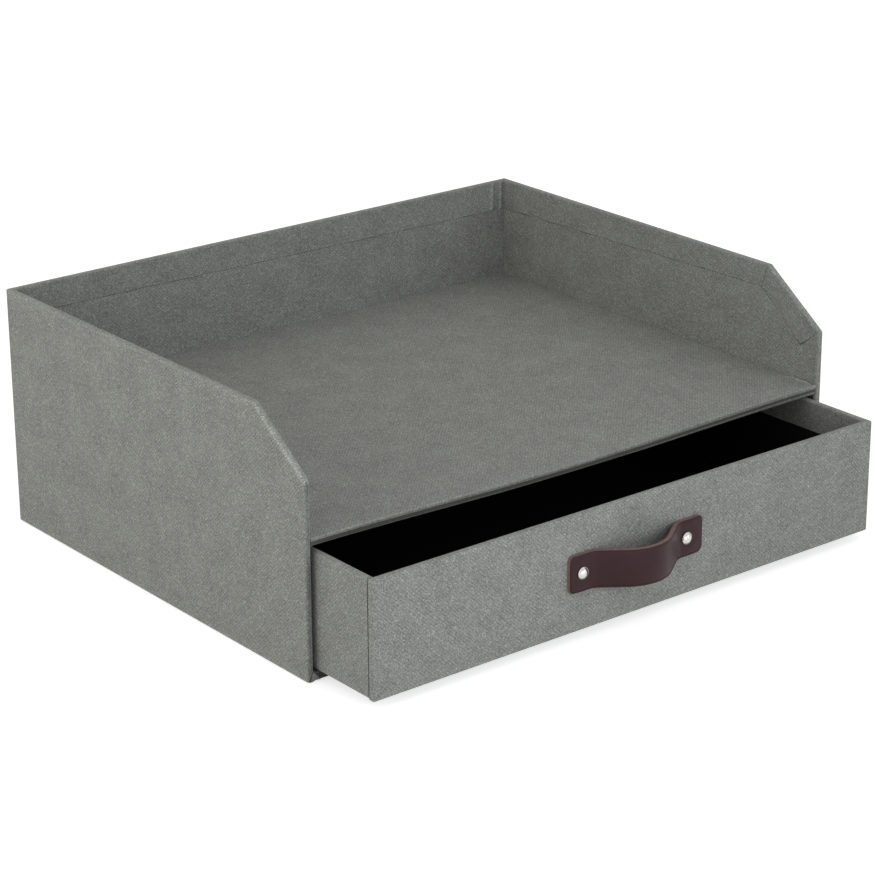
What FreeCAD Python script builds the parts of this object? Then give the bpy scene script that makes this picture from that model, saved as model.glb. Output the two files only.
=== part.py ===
import FreeCAD, Part
import math
import os
import re
import Sketcher

# A letter tray with a drawer under it, made as a rigid set-up box is made: boards of solid
# fibreboard, glued edge to edge, wrapped in a thin covering sheet that is folded over every edge
# and lined inside. The tray has three walls whose front corners are cut off at a slope, and its
# floor sags a little towards the open front. The drawer runs free on the covered base board and
# has a bowed leather strap held by two rivets.
#
# Frame: X across the front, Y towards the back, Z up, in millimetres. The origin is the middle of
# the underside of the case. The drawer is drawn shut and then placed by drawer_out.

SIZES = [
    ("case_width", 330.0, "outside width of the case"),
    ("case_depth", 255.0, "outside depth of the case"),
    ("case_height", 127.0, "height of the back and side walls"),
    ("case_board", 2.9, "thickness of the side and back boards"),
    ("base_board_thick", 3.3, "thickness of the base board"),
    ("covering", 0.3, "thickness of the covering and lining sheets"),
    ("slope_run", 38.0, "depth taken off the top of a side wall by its sloped corner"),
    ("slope_drop", 27.2, "height taken off the front of a side wall by its sloped corner"),
    ("shelf_height", 71.0, "top of the tray floor where it meets the walls"),
    ("shelf_board_thick", 2.9, "thickness of the tray floor's board"),
    ("shelf_sag", 2.7, "how far the middle of the tray floor's front edge hangs down"),
    ("shelf_turn_under", 15.0, "depth of the tray floor's covering under the front edge"),
    ("turn_in_left", 14.2, "depth of the covering's turn-in at the back left corner"),
    ("turn_in_right", 16.6, "depth of the covering's turn-in at the back right corner"),
    ("turn_in_front", 12.2, "depth of the turn-in where the sloped corner begins"),
    ("turn_in_toe", 9.6, "depth of the turn-in at the lower end of the sloped corner"),
    ("toe_back", 2.4, "how far the toe of that turn-in is cut back along the slope"),
    ("seam_gap", 0.35, "gap between the edges of two sheets that meet"),
    ("turn_under", 15.0, "depth of the covering under the base"),
    ("sheet_inset", 3.0, "how far an underside sheet stays inside the edges"),
    ("fold_radius", 0.8, "radius of the covering over a board's edge"),
    ("drawer_board", 2.7, "thickness of the drawer's wall boards"),
    ("drawer_base_thick", 2.2, "thickness of the drawer's base board"),
    ("drawer_side_gap", 2.3, "clearance between the drawer and each side wall"),
    ("drawer_back_gap", 3.0, "clearance behind the shut drawer"),
    ("drawer_floor_gap", 0.3, "running clearance under the drawer's front"),
    ("drawer_top_gap", 0.6, "clearance between the drawer and the lowest part of the shelf"),
    ("front_drop", 0.5, "how far the drawer's front hangs below its box"),
    ("drawer_turn_in", 15.6, "depth of the grey turn-in inside the drawer"),
    ("drawer_out", 42.0, "how far the drawer is pulled out at rest"),
    ("strap_width", 19.0, "width of the strap"),
    ("strap_thick", 2.3, "thickness of the leather"),
    ("strap_rise", 14.2, "how far the middle of the strap bows out"),
    ("strap_slope", 36.4, "slope of the bow's flanks against the drawer's front, in degrees"),
    ("strap_bend", 10.0, "radius of the bends at the feet of the bow"),
    ("strap_crown", 23.0, "radius of the bow's crown"),
    ("strap_tip", 9.9, "from a rivet's centre to the end of the strap"),
    ("strap_shift", 3.3, "how far the strap sits to the left of the middle"),
    ("strap_level", 35.2, "height of the strap's centre line above the floor"),
    ("strap_corner", 3.0, "corner radius of the strap's ends"),
    ("strap_edge", 0.5, "rounding of the strap's long outer edges"),
    ("rivet_head", 3.5, "radius of a rivet's head"),
    ("head_clearance", 0.1, "between a rivet's head and the start of the bow"),
    ("rivet_dome", 1.9, "height of a rivet's domed head"),
    ("rivet_post", 1.6, "radius of a rivet's post"),
    ("post_clearance", 0.05, "gap round a post in its holes"),
    ("cap_radius", 3.8, "radius of the cap on a rivet's inner end"),
    ("cap_dome", 1.0, "height of that cap"),
]

doc = FreeCAD.newDocument("letter_tray")
sheet = doc.addObject("Spreadsheet::Sheet", "Sizes")
for row, (alias, value, note) in enumerate(SIZES, start=1):
    sheet.set(f"A{row}", note)
    sheet.set(f"B{row}", str(value))
    sheet.setAlias(f"B{row}", alias)
doc.recompute()
ALIASES = {alias for alias, value, note in SIZES}
PARTS = []

# Formulas that several pieces share. The covered wall is a board with a sheet on each face.
WALL = "(case_board + 2*covering)"
HALF_WIDTH = "case_width/2"
HALF_DEPTH = "case_depth/2"
BOARD_FOOT = "2*covering"
BASE_TOP = "(base_board_thick + 3*covering)"
INNER_X = f"({HALF_WIDTH} - {WALL})"
INNER_BACK = f"({HALF_DEPTH} - {WALL})"
BOARD_X = f"({HALF_WIDTH} - covering - case_board)"
BOARD_BACK = f"({HALF_DEPTH} - covering - case_board)"
SHELF_UNDER = "(shelf_height - 2*covering - shelf_board_thick)"
DRAWER_X = f"({INNER_X} - drawer_side_gap)"
DRAWER_BACK = f"({INNER_BACK} - drawer_back_gap)"
DRAWER_TOP = f"({SHELF_UNDER} - shelf_sag - drawer_top_gap)"
FRONT_FOOT = f"({BASE_TOP} + drawer_floor_gap)"
DRAWER_FOOT = f"({FRONT_FOOT} + front_drop)"
FRONT_REAR = f"(-{HALF_DEPTH} + covering + drawer_board)"
DRAWER_INNER_X = f"({DRAWER_X} - covering - drawer_board)"
DRAWER_INNER_BACK = f"({DRAWER_BACK} - covering - drawer_board)"
DRAWER_FLOOR = f"({DRAWER_FOOT} + 2*covering + drawer_base_thick)"
SLOPE_ANGLE = "atan(slope_drop/slope_run)"
MITRE = f"(-{HALF_DEPTH} + covering + turn_under - {WALL})"


def linked(formula):
    """The formula with every alias pointing at its cell of the sheet."""
    return re.sub(r"[a-z_]+", lambda word: "Sizes." + word[0] if word[0] in ALIASES else word[0], formula)


def bind(target, path, formula):
    target.setExpression(path, linked(formula))


def size(alias):
    return float(sheet.get(alias))


def new_body(label):
    body = doc.addObject("PartDesign::Body", label)
    body.Label = label
    return body


def keep(piece, in_drawer=False):
    """Adds a finished piece to the ones that are written, and places it if the drawer carries it."""
    if in_drawer:
        bind(piece, "Placement.Base.y", "-drawer_out")
    PARTS.append(piece)
    return piece


def new_sketch(body, name, role, offset="0"):
    """A sketch on one of the body's own origin planes, moved along the plane's normal."""
    sketch = body.newObject("Sketcher::SketchObject", name)
    plane = [feature for feature in body.Origin.OriginFeatures if feature.Role == role][0]
    sketch.AttachmentSupport = [(plane, "")]
    sketch.MapMode = "FlatFace"
    if offset != "0":
        bind(sketch, "AttachmentOffset.Base.z", f"1 mm * ({offset})")
    return sketch


def place_point(sketch, name, geometry, end, across, up):
    """Ties a point of the sketch to two formulas, measured from the sketch's origin."""
    point = sketch.getPoint(geometry, end)
    for kind, formula, start in (("DistanceX", across, point.x), ("DistanceY", up, point.y)):
        row = sketch.addConstraint(Sketcher.Constraint(kind, -1, 1, geometry, end, start))
        sketch.renameConstraint(row, f"{name}_{kind[-1].lower()}")
        bind(sketch, f"Constraints.{name}_{kind[-1].lower()}", formula)


def polygon(sketch, corners):
    """A closed outline through the corners, each given as two formulas."""
    count = len(corners)
    first = sketch.GeometryCount
    ring = [
        FreeCAD.Vector(10 * math.cos(2 * math.pi * i / count), 10 * math.sin(2 * math.pi * i / count), 0)
        for i in range(count)
    ]
    for i in range(count):
        sketch.addGeometry(Part.LineSegment(ring[i], ring[(i + 1) % count]), False)
    for i in range(count):
        sketch.addConstraint(Sketcher.Constraint("Coincident", first + i, 2, first + (i + 1) % count, 1))
    for i, (across, up) in enumerate(corners):
        place_point(sketch, f"corner_{first + i}", first + i, 1, across, up)


def rectangle(sketch, left, right, low, high):
    polygon(sketch, [(left, low), (right, low), (right, high), (left, high)])


def circle(sketch, name, across, up, radius):
    row = sketch.addGeometry(Part.Circle(FreeCAD.Vector(20, 20, 0), FreeCAD.Vector(0, 0, 1), 5), False)
    place_point(sketch, name, row, 3, across, up)
    rule = sketch.addConstraint(Sketcher.Constraint("Radius", row, 5))
    sketch.renameConstraint(rule, f"{name}_radius")
    bind(sketch, f"Constraints.{name}_radius", radius)


def pad(body, name, sketch, length, reverse=False):
    feature = body.newObject("PartDesign::Pad", name)
    feature.Profile = sketch
    feature.Reversed = reverse
    bind(feature, "Length", f"1 mm * ({length})")
    return feature


def pocket(body, name, sketch, length, reverse=False):
    """Cuts against the sketch's normal, or along it when reversed, and checks that it cut."""
    doc.recompute()
    before = body.Shape.Volume
    feature = body.newObject("PartDesign::Pocket", name)
    feature.Profile = sketch
    feature.Reversed = reverse
    bind(feature, "Length", f"1 mm * ({length})")
    doc.recompute()
    if body.Shape.Volume > before - 0.001:
        raise RuntimeError(f"{body.Label}: {name} cuts nothing")
    return feature


def plate(label, left, right, front, back, foot, height, in_drawer=False):
    """A flat board or sheet: its footprint on the floor plan, raised from foot by height."""
    body = new_body(label)
    outline = new_sketch(body, f"{label}_outline", "XY_Plane", foot)
    rectangle(outline, left, right, front, back)
    pad(body, f"{label}_pad", outline, height)
    return keep(body, in_drawer)


def cut_away(label, block, pieces):
    """The sheet that is left when the boards are taken out of a solid block."""
    boards = pieces[0]
    if len(pieces) > 1:
        boards = doc.addObject("Part::MultiFuse", f"{label}_boards")
        boards.Shapes = pieces
    cover = doc.addObject("Part::Cut", label)
    cover.Label = label
    cover.Base = block
    cover.Tool = boards
    return keep(cover)


# The case: boards.

def side_outline(inset):
    """The side wall seen from the side, with every edge moved in by inset."""
    upper = f"-{HALF_DEPTH} + slope_run + ({inset})*tan({SLOPE_ANGLE}/2)"
    lower = f"case_height - slope_drop - ({inset})*tan((90 deg - {SLOPE_ANGLE})/2)"
    foot = f"covering + ({inset})"
    return [
        (f"-{HALF_DEPTH} + ({inset})", foot),
        (f"{HALF_DEPTH} - ({inset})", foot),
        (f"{HALF_DEPTH} - ({inset})", f"case_height - ({inset})"),
        (upper, f"case_height - ({inset})"),
        (f"-{HALF_DEPTH} + ({inset})", lower),
    ]


def side_board(label, near_x):
    body = new_body(label)
    outline = new_sketch(body, f"{label}_outline", "YZ_Plane", near_x)
    polygon(outline, side_outline("covering"))
    pad(body, f"{label}_pad", outline, "case_board")
    return keep(body)


left_side_board = side_board("left_side_board", f"-{HALF_WIDTH} + covering")
right_side_board = side_board("right_side_board", BOARD_X)
back_board = plate(
    "back_board", f"-{BOARD_X}", BOARD_X, BOARD_BACK, f"{HALF_DEPTH} - covering",
    BOARD_FOOT, f"case_height - covering - {BOARD_FOOT}",
)
base_board = plate(
    "base_board", f"-{BOARD_X}", BOARD_X, f"-{HALF_DEPTH} + covering", BOARD_BACK,
    BOARD_FOOT, "base_board_thick",
)


# The case: the outer covering.

def seam_outline(back_depth, gap, front):
    """The inner side wall below the edge of the turn-in, which follows the top and the slope.

    The toe of the turn-in is found from the slope's lower end: turn_in_toe square to the slope
    and toe_back up along it. Below it the sheet reaches the front.
    """
    corner_z = "case_height - slope_drop"
    toe_y = f"-{HALF_DEPTH} + turn_in_toe*sin({SLOPE_ANGLE}) + toe_back*cos({SLOPE_ANGLE})"
    toe_z = f"{corner_z} - turn_in_toe*cos({SLOPE_ANGLE}) + toe_back*sin({SLOPE_ANGLE})"
    return [
        (front, BASE_TOP),
        (INNER_BACK, BASE_TOP),
        (INNER_BACK, f"case_height - {back_depth} - ({gap})"),
        (f"-{HALF_DEPTH} + slope_run + turn_in_front*tan({SLOPE_ANGLE}/2)",
         f"case_height - turn_in_front - ({gap})"),
        (toe_y, f"{toe_z} - ({gap})"),
        (front, f"{corner_z} - covering - ({gap})"),
    ]


def fold(body, name, chosen):
    """Rounds the edges of a block that its covering folds over, up to what the sheet's layers allow."""
    doc.recompute()
    rim = [f"Edge{i}" for i, edge in enumerate(body.Shape.Edges, start=1) if chosen(edge.BoundBox)]
    solid = body.Tip
    feature = body.newObject("PartDesign::Fillet", name)
    feature.Base = (solid, rim)
    bind(feature, "Radius", "min(fold_radius; 2.5*covering)")


def upright(box):
    return box.ZLength > 1.0 and box.XLength < 0.01 and box.YLength < 0.01


def wall_rim(box):
    """Every edge of the three walls except the foot and the inner corners at the back."""
    inner_back = size("case_depth") / 2 - size("case_board") - 2 * size("covering")
    return box.ZMax > 1.0 and not (upright(box) and abs(box.YMax - inner_back) < 0.01)


def outer_block():
    """The covered walls as one solid: three walls and the strip that is turned under the base."""
    body = new_body("outer_block")
    outline = new_sketch(body, "wall_profile", "YZ_Plane", f"-{HALF_WIDTH}")
    polygon(outline, side_outline("0"))
    pad(body, "wall_block", outline, "case_width")

    inside = new_sketch(body, "tray_room", "XY_Plane", "case_height + 1")
    rectangle(inside, f"-{INNER_X}", INNER_X, f"-{HALF_DEPTH} - 1", INNER_BACK)
    pocket(body, "tray_pocket", inside, f"case_height + 1 - {BOARD_FOOT}")

    fold(body, "folds", wall_rim)

    under = new_sketch(body, "underside_room", "XY_Plane", BOARD_FOOT)
    front = f"-{HALF_DEPTH}"
    strip = f"({HALF_WIDTH} - turn_under)"
    polygon(under, [
        (f"-{INNER_X}", f"{front} - 1"), (INNER_X, f"{front} - 1"), (INNER_X, f"{front} + covering"),
        (strip, MITRE), (strip, f"{HALF_DEPTH} - turn_under"),
        (f"-{strip}", f"{HALF_DEPTH} - turn_under"), (f"-{strip}", MITRE),
        (f"-{INNER_X}", f"{front} + covering"),
    ])
    pocket(body, "underside_pocket", under, "2*covering")
    return body


def seam_pocket(body, name, start_x, back_depth):
    """Takes the turn-in's layer off one side wall below the seam."""
    outline = new_sketch(body, f"{name}_seam", "YZ_Plane", start_x)
    corners = seam_outline(back_depth, "0", f"-{HALF_DEPTH} + covering")
    foot = [(corners[0][0], BOARD_FOOT), (BOARD_BACK, BOARD_FOOT), (BOARD_BACK, corners[2][1])]
    polygon(outline, foot + corners[3:])
    pocket(body, f"{name}_pocket", outline, "covering", reverse=True)


covering_block = outer_block()
seam_pocket(covering_block, "left", f"-{BOARD_X}", "turn_in_left")
seam_pocket(covering_block, "right", INNER_X, "turn_in_right")
back_seam = new_sketch(covering_block, "back_seam", "XZ_Plane", f"-{BOARD_BACK}")
polygon(back_seam, [
    (f"-{BOARD_X}", BOARD_FOOT), (BOARD_X, BOARD_FOOT),
    (BOARD_X, "case_height - turn_in_right"), (f"-{BOARD_X}", "case_height - turn_in_left"),
])
pocket(covering_block, "back_pocket", back_seam, "covering", reverse=True)
case_boards = [left_side_board, right_side_board, back_board, base_board]
cut_away("outer_cover", covering_block, case_boards)


# The case: linings and base sheets.

def side_lining(label, near_x, back_depth):
    body = new_body(label)
    outline = new_sketch(body, f"{label}_outline", "YZ_Plane", near_x)
    polygon(outline, seam_outline(back_depth, "seam_gap", f"-{HALF_DEPTH} + covering"))
    pad(body, f"{label}_pad", outline, "covering")
    return keep(body)


side_lining("left_lining", f"-{BOARD_X}", "turn_in_left")
side_lining("right_lining", INNER_X, "turn_in_right")

back_lining = new_body("back_lining")
back_sheet = new_sketch(back_lining, "back_lining_outline", "XZ_Plane", f"-{BOARD_BACK}")
polygon(back_sheet, [
    (f"-{BOARD_X}", BASE_TOP), (BOARD_X, BASE_TOP),
    (BOARD_X, "case_height - turn_in_right - seam_gap"),
    (f"-{BOARD_X}", "case_height - turn_in_left - seam_gap"),
])
pad(back_lining, "back_lining_pad", back_sheet, "covering")
keep(back_lining)

# The base's covering lies on the bay floor, folds down over the front edge and is turned under
# with mitred ends, between the mitred ends of the outer covering.
base_block = new_body("base_block")
bay_floor = new_sketch(base_block, "bay_floor", "XY_Plane", BOARD_FOOT)
rectangle(bay_floor, f"-{BOARD_X}", BOARD_X, f"-{HALF_DEPTH} + covering", BOARD_BACK)
pad(base_block, "bay_floor_pad", bay_floor, "base_board_thick + covering")
front_strip = new_sketch(base_block, "front_strip", "XY_Plane", "covering")
rectangle(front_strip, f"-{INNER_X}", INNER_X, f"-{HALF_DEPTH}", f"-{HALF_DEPTH} + covering")
pad(base_block, "front_strip_pad", front_strip, f"{BASE_TOP} - covering")
turned_strip = new_sketch(base_block, "turned_strip", "XY_Plane", "covering")
strip_end = f"({HALF_WIDTH} - turn_under - seam_gap)"
polygon(turned_strip, [
    (f"-{INNER_X} + seam_gap", f"-{HALF_DEPTH} + covering"),
    (f"{INNER_X} - seam_gap", f"-{HALF_DEPTH} + covering"),
    (strip_end, MITRE),
    (f"-{strip_end}", MITRE),
])
pad(base_block, "turned_strip_pad", turned_strip, "covering")
cut_away("base_cover", base_block, [base_board])

plate(
    "base_sheet", f"-{HALF_WIDTH} + sheet_inset", f"{HALF_WIDTH} - sheet_inset",
    f"-{HALF_DEPTH} + sheet_inset", f"{HALF_DEPTH} - sheet_inset", "0", "covering",
)


# The tray floor, which sags towards its free front edge.

def sag_line(level, y):
    """The floor's line across the tray at y, as two cubics that leave the walls level.

    The fall from the walls to the middle is shelf_sag at the front edge and nothing at the back.
    """
    half = size("case_width") / 2 - size("case_board") - 2 * size("covering")
    front = -size("case_depth") / 2
    back = -front - size("case_board") - 2 * size("covering")
    fall = size("shelf_sag") * (back - y) / (back - front)
    left = [(-half, level), (-half * 2 / 3, level), (-half / 3, level - fall), (0, level - fall)]
    right = [(-x, z) for x, z in reversed(left)]
    edges = []
    for poles in (left, right):
        curve = Part.BezierCurve()
        curve.setPoles([FreeCAD.Vector(x, y, z) for x, z in poles])
        edges.append(curve.toShape())
    return edges


def sagging_plate(foot, top, front, back, bands=6):
    """A sheet between two levels at the walls, from front to back, following the sag.

    The surface twists between the straight back and the curved front, so it is ruled in bands.
    """
    wires = []
    for band in range(bands + 1):
        y = front + (back - front) * band / bands
        low = sag_line(foot, y)
        high = sag_line(top, y)
        ends = []
        for i, side in ((0, 0), (1, -1)):
            start = low[i].Vertexes[side].Point
            finish = high[i].Vertexes[side].Point
            ends.append(Part.LineSegment(start, finish).toShape())
        wires.append(Part.Wire(Part.__sortEdges__(low + [ends[1]] + high + [ends[0]])))
    return Part.makeLoft(wires, True, True).removeSplitter()


def shelf_piece(label, shape):
    piece = doc.addObject("Part::Feature", label)
    piece.Label = label
    piece.Shape = shape
    return keep(piece)


shelf_front = -size("case_depth") / 2
shelf_back = -shelf_front - size("case_board") - 2 * size("covering")
shelf_top = size("shelf_height")
paper = size("covering")
board_top = shelf_top - paper
board_low = board_top - size("shelf_board_thick")
shelf_low = board_low - paper
fold_back = shelf_front + size("shelf_turn_under")
shelf_piece("shelf_board", sagging_plate(board_low, board_top, shelf_front + paper, shelf_back))
top_sheet = sagging_plate(board_top, shelf_top, shelf_front, shelf_back)
edge_strip = sagging_plate(board_low, board_top, shelf_front, shelf_front + paper, bands=1)
under_strip = sagging_plate(shelf_low, board_low, shelf_front, fold_back, bands=1)
shelf_piece("shelf_cover", top_sheet.fuse([edge_strip, under_strip]).removeSplitter())
shelf_piece(
    "shelf_underside_sheet",
    sagging_plate(shelf_low, board_low, fold_back + size("seam_gap"), shelf_back),
)


# The drawer: boards.

# The bow's half length follows from its rise, the slope of its flanks and its two radii. The
# rivets stand just clear of the bow, and the strap ends beyond them.
SLOPE = "(strap_slope * 1 deg)"
FLANK = f"((strap_rise - (strap_bend + strap_crown)*(1 - cos({SLOPE})))/sin({SLOPE}))"
BOW = f"((strap_bend + strap_crown)*sin({SLOPE}) + {FLANK}*cos({SLOPE}))"
RIVET_X = f"({BOW} + head_clearance + rivet_head)"
STRAP_END = f"({RIVET_X} + strap_tip)"
BORE = "rivet_post + post_clearance"
RIVETS = {"left": f"-strap_shift - {RIVET_X}", "right": f"-strap_shift + {RIVET_X}"}


def rivet_holes(body, front, length):
    """Two round holes for the rivets' posts, from the plane at front towards the back."""
    holes = new_sketch(body, "rivet_holes", "XZ_Plane", f"-({front})")
    for name, across in RIVETS.items():
        circle(holes, f"{name}_hole", across, "strap_level", BORE)
    pocket(body, "rivet_bores", holes, length)


DRAWER_BOARD_FOOT = f"({DRAWER_FOOT} + 2*covering)"
DRAWER_BOARD_RISE = f"{DRAWER_TOP} - covering - {DRAWER_BOARD_FOOT}"

drawer_front_board = plate(
    "drawer_front_board", f"-{DRAWER_X} + covering", f"{DRAWER_X} - covering",
    f"-{HALF_DEPTH} + covering", FRONT_REAR, f"{FRONT_FOOT} + covering",
    f"{DRAWER_TOP} - {FRONT_FOOT} - 2*covering", in_drawer=True,
)
rivet_holes(drawer_front_board, f"-{HALF_DEPTH}", "drawer_board + 1")
drawer_left_board = plate(
    "drawer_left_board", f"-{DRAWER_X} + covering", f"-{DRAWER_INNER_X}",
    FRONT_REAR, f"{DRAWER_BACK} - covering", DRAWER_BOARD_FOOT, DRAWER_BOARD_RISE, in_drawer=True,
)
drawer_right_board = plate(
    "drawer_right_board", DRAWER_INNER_X, f"{DRAWER_X} - covering",
    FRONT_REAR, f"{DRAWER_BACK} - covering", DRAWER_BOARD_FOOT, DRAWER_BOARD_RISE, in_drawer=True,
)
drawer_back_board = plate(
    "drawer_back_board", f"-{DRAWER_INNER_X}", DRAWER_INNER_X,
    DRAWER_INNER_BACK, f"{DRAWER_BACK} - covering", DRAWER_BOARD_FOOT, DRAWER_BOARD_RISE,
    in_drawer=True,
)
drawer_base_board = plate(
    "drawer_base_board", f"-{DRAWER_INNER_X}", DRAWER_INNER_X, FRONT_REAR, DRAWER_INNER_BACK,
    DRAWER_BOARD_FOOT, "drawer_base_thick", in_drawer=True,
)


# The drawer: coverings.

TURNED_EDGE = f"({DRAWER_TOP} - drawer_turn_in)"
LINED_X = f"({DRAWER_INNER_X} - covering)"
LINED_BACK = f"({DRAWER_INNER_BACK} - covering)"


def front_block():
    """The covered front board as one solid, with the turn-in that shows inside the drawer."""
    body = new_body("front_block")
    outline = new_sketch(body, "front_outline", "XY_Plane", FRONT_FOOT)
    rectangle(outline, f"-{DRAWER_X}", DRAWER_X, f"-{HALF_DEPTH}", FRONT_REAR)
    pad(body, "front_pad", outline, f"{DRAWER_TOP} - {FRONT_FOOT}")
    fold(body, "front_folds", lambda box: box.YMax < -size("case_depth") / 2 + 0.01)
    turned = new_sketch(body, "turned_strip", "XY_Plane", TURNED_EDGE)
    rectangle(turned, f"-{LINED_X}", LINED_X, f"{FRONT_REAR} - covering", f"{FRONT_REAR} + covering")
    pad(body, "turned_pad", turned, "drawer_turn_in")
    rivet_holes(body, f"-{HALF_DEPTH} - 1", "drawer_board + 3*covering + 1")
    return body


def wrap_block():
    """The covered box behind the front as one solid: three walls and the turned-under strip."""
    body = new_body("wrap_block")
    front = f"{FRONT_REAR} + covering"
    outline = new_sketch(body, "box_outline", "XY_Plane", f"{DRAWER_FOOT} + covering")
    rectangle(outline, f"-{DRAWER_X}", DRAWER_X, front, DRAWER_BACK)
    pad(body, "box_pad", outline, f"{DRAWER_TOP} - {DRAWER_FOOT} - covering")
    room = new_sketch(body, "box_room", "XY_Plane", f"{DRAWER_TOP} + 1")
    rectangle(room, f"-{LINED_X}", LINED_X, f"{front} - 1", LINED_BACK)
    pocket(body, "box_pocket", room, f"{DRAWER_TOP} + 1 - {DRAWER_BOARD_FOOT}")
    top = body.Shape.BoundBox.ZMax
    back = body.Shape.BoundBox.YMax

    def box_rim(box):
        level = box.ZMin > top - 0.01 and max(box.YLength, box.YMax - back + 20) > 10
        return level or (upright(box) and box.YMin > back - 0.01)

    fold(body, "box_folds", box_rim)
    under = new_sketch(body, "under_room", "XY_Plane", DRAWER_BOARD_FOOT)
    rectangle(
        under, f"-{DRAWER_X} + turn_under", f"{DRAWER_X} - turn_under",
        f"{front} - 1", f"{DRAWER_BACK} - turn_under",
    )
    pocket(body, "under_pocket", under, "2*covering")
    seam = new_sketch(body, "lining_room", "XY_Plane", TURNED_EDGE)
    rectangle(seam, f"-{DRAWER_INNER_X}", DRAWER_INNER_X, f"{front} - 1", DRAWER_INNER_BACK)
    pocket(body, "lining_pocket", seam, f"{TURNED_EDGE} - {DRAWER_BOARD_FOOT}")
    return body


def in_drawer_frame(block):
    bind(block, "Placement.Base.y", "-drawer_out")
    return block


cut_away("drawer_front_cover", in_drawer_frame(front_block()), [drawer_front_board])
box_boards = [drawer_left_board, drawer_right_board, drawer_back_board]
cut_away("drawer_wrap", in_drawer_frame(wrap_block()), box_boards)
plate(
    "drawer_underside_sheet", f"-{DRAWER_X} + sheet_inset", f"{DRAWER_X} - sheet_inset",
    f"{FRONT_REAR} + sheet_inset", f"{DRAWER_BACK} - sheet_inset", DRAWER_FOOT, "covering",
    in_drawer=True,
)


# The drawer: black lining.

plate(
    "drawer_floor_lining", f"-{DRAWER_INNER_X}", DRAWER_INNER_X, FRONT_REAR, DRAWER_INNER_BACK,
    DRAWER_FLOOR, "covering", in_drawer=True,
)
wall_lining = new_body("drawer_wall_lining")
band = new_sketch(wall_lining, "lining_band", "XY_Plane", f"{DRAWER_FLOOR} + covering")
rectangle(band, f"-{DRAWER_INNER_X}", DRAWER_INNER_X, FRONT_REAR, DRAWER_INNER_BACK)
rectangle(band, f"-{LINED_X}", LINED_X, f"{FRONT_REAR} + covering", LINED_BACK)
pad(wall_lining, "band_pad", band, f"{TURNED_EDGE} - seam_gap - {DRAWER_FLOOR} - covering")
rivet_holes(wall_lining, f"{FRONT_REAR} - 1", "covering + 2")
keep(wall_lining, in_drawer=True)


# The handle: a bowed leather strap and its two rivets.

STRAP_LINE = f"(-{HALF_DEPTH} - strap_thick/2)"
STRAP_FACE = f"(-{HALF_DEPTH} - strap_thick)"


def strap_path(body):
    """The middle of the leather, seen from above: foot, bend, flank, crown, flank, bend and foot."""
    path = new_sketch(body, "strap_path", "XY_Plane", "strap_level")
    level = -(size("case_depth") + size("strap_thick")) / 2
    middle = -size("strap_shift")
    slope = math.radians(size("strap_slope"))
    bend = size("strap_bend")
    crown = size("strap_crown")
    rise = size("strap_rise")
    flank = (rise - (bend + crown) * (1 - math.cos(slope))) / math.sin(slope)
    bow = (bend + crown) * math.sin(slope) + flank * math.cos(slope)
    half = bow + size("head_clearance") + size("rivet_head") + size("strap_tip")
    quarter = math.pi / 2

    def arc(across, along, radius, start, end):
        ring = Part.Circle(FreeCAD.Vector(across, along, 0), FreeCAD.Vector(0, 0, 1), radius)
        return Part.ArcOfCircle(ring, start, end)

    def line(start, end):
        return Part.LineSegment(start, end)

    left_bend = arc(middle - bow, level - bend, bend, quarter - slope, quarter)
    top = arc(middle, level - rise + crown, crown, -quarter - slope, -quarter + slope)
    right_bend = arc(middle + bow, level - bend, bend, quarter, quarter + slope)
    for piece in (
        line(FreeCAD.Vector(middle - half, level, 0), left_bend.EndPoint),
        left_bend,
        line(left_bend.StartPoint, top.StartPoint),
        top,
        line(top.EndPoint, right_bend.EndPoint),
        right_bend,
        line(right_bend.StartPoint, FreeCAD.Vector(middle + half, level, 0)),
    ):
        path.addGeometry(piece, False)
    # Each join is a piece and its end, the next piece and its end: 1 is a start, 2 an end.
    for join in ((0, 2, 1, 2), (1, 1, 2, 1), (2, 2, 3, 1), (3, 2, 4, 1), (4, 2, 5, 2), (5, 1, 6, 1)):
        path.addConstraint(Sketcher.Constraint("Tangent", *join))
    for curve, name, radius in ((1, "left_bend", bend), (3, "crown", crown), (5, "right_bend", bend)):
        rule = path.addConstraint(Sketcher.Constraint("Radius", curve, radius))
        path.renameConstraint(rule, name)
        bind(path, f"Constraints.{name}", "strap_crown" if name == "crown" else "strap_bend")
    bend_line = f"{STRAP_LINE} - strap_bend"
    place_point(path, "left_tip", 0, 1, f"-strap_shift - {STRAP_END}", STRAP_LINE)
    place_point(path, "right_tip", 6, 2, f"-strap_shift + {STRAP_END}", STRAP_LINE)
    place_point(path, "left_centre", 1, 3, f"-strap_shift - {BOW}", bend_line)
    place_point(path, "right_centre", 5, 3, f"-strap_shift + {BOW}", bend_line)
    place_point(path, "crown_centre", 3, 3, "-strap_shift", f"{STRAP_LINE} - strap_rise + strap_crown")
    return path


def round_edges(body, name, radius, chosen):
    doc.recompute()
    edges = [f"Edge{i}" for i, edge in enumerate(body.Shape.Edges, start=1) if chosen(edge)]
    solid = body.Tip
    feature = body.newObject("PartDesign::Fillet", name)
    feature.Base = (solid, edges)
    bind(feature, "Radius", radius)


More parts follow.
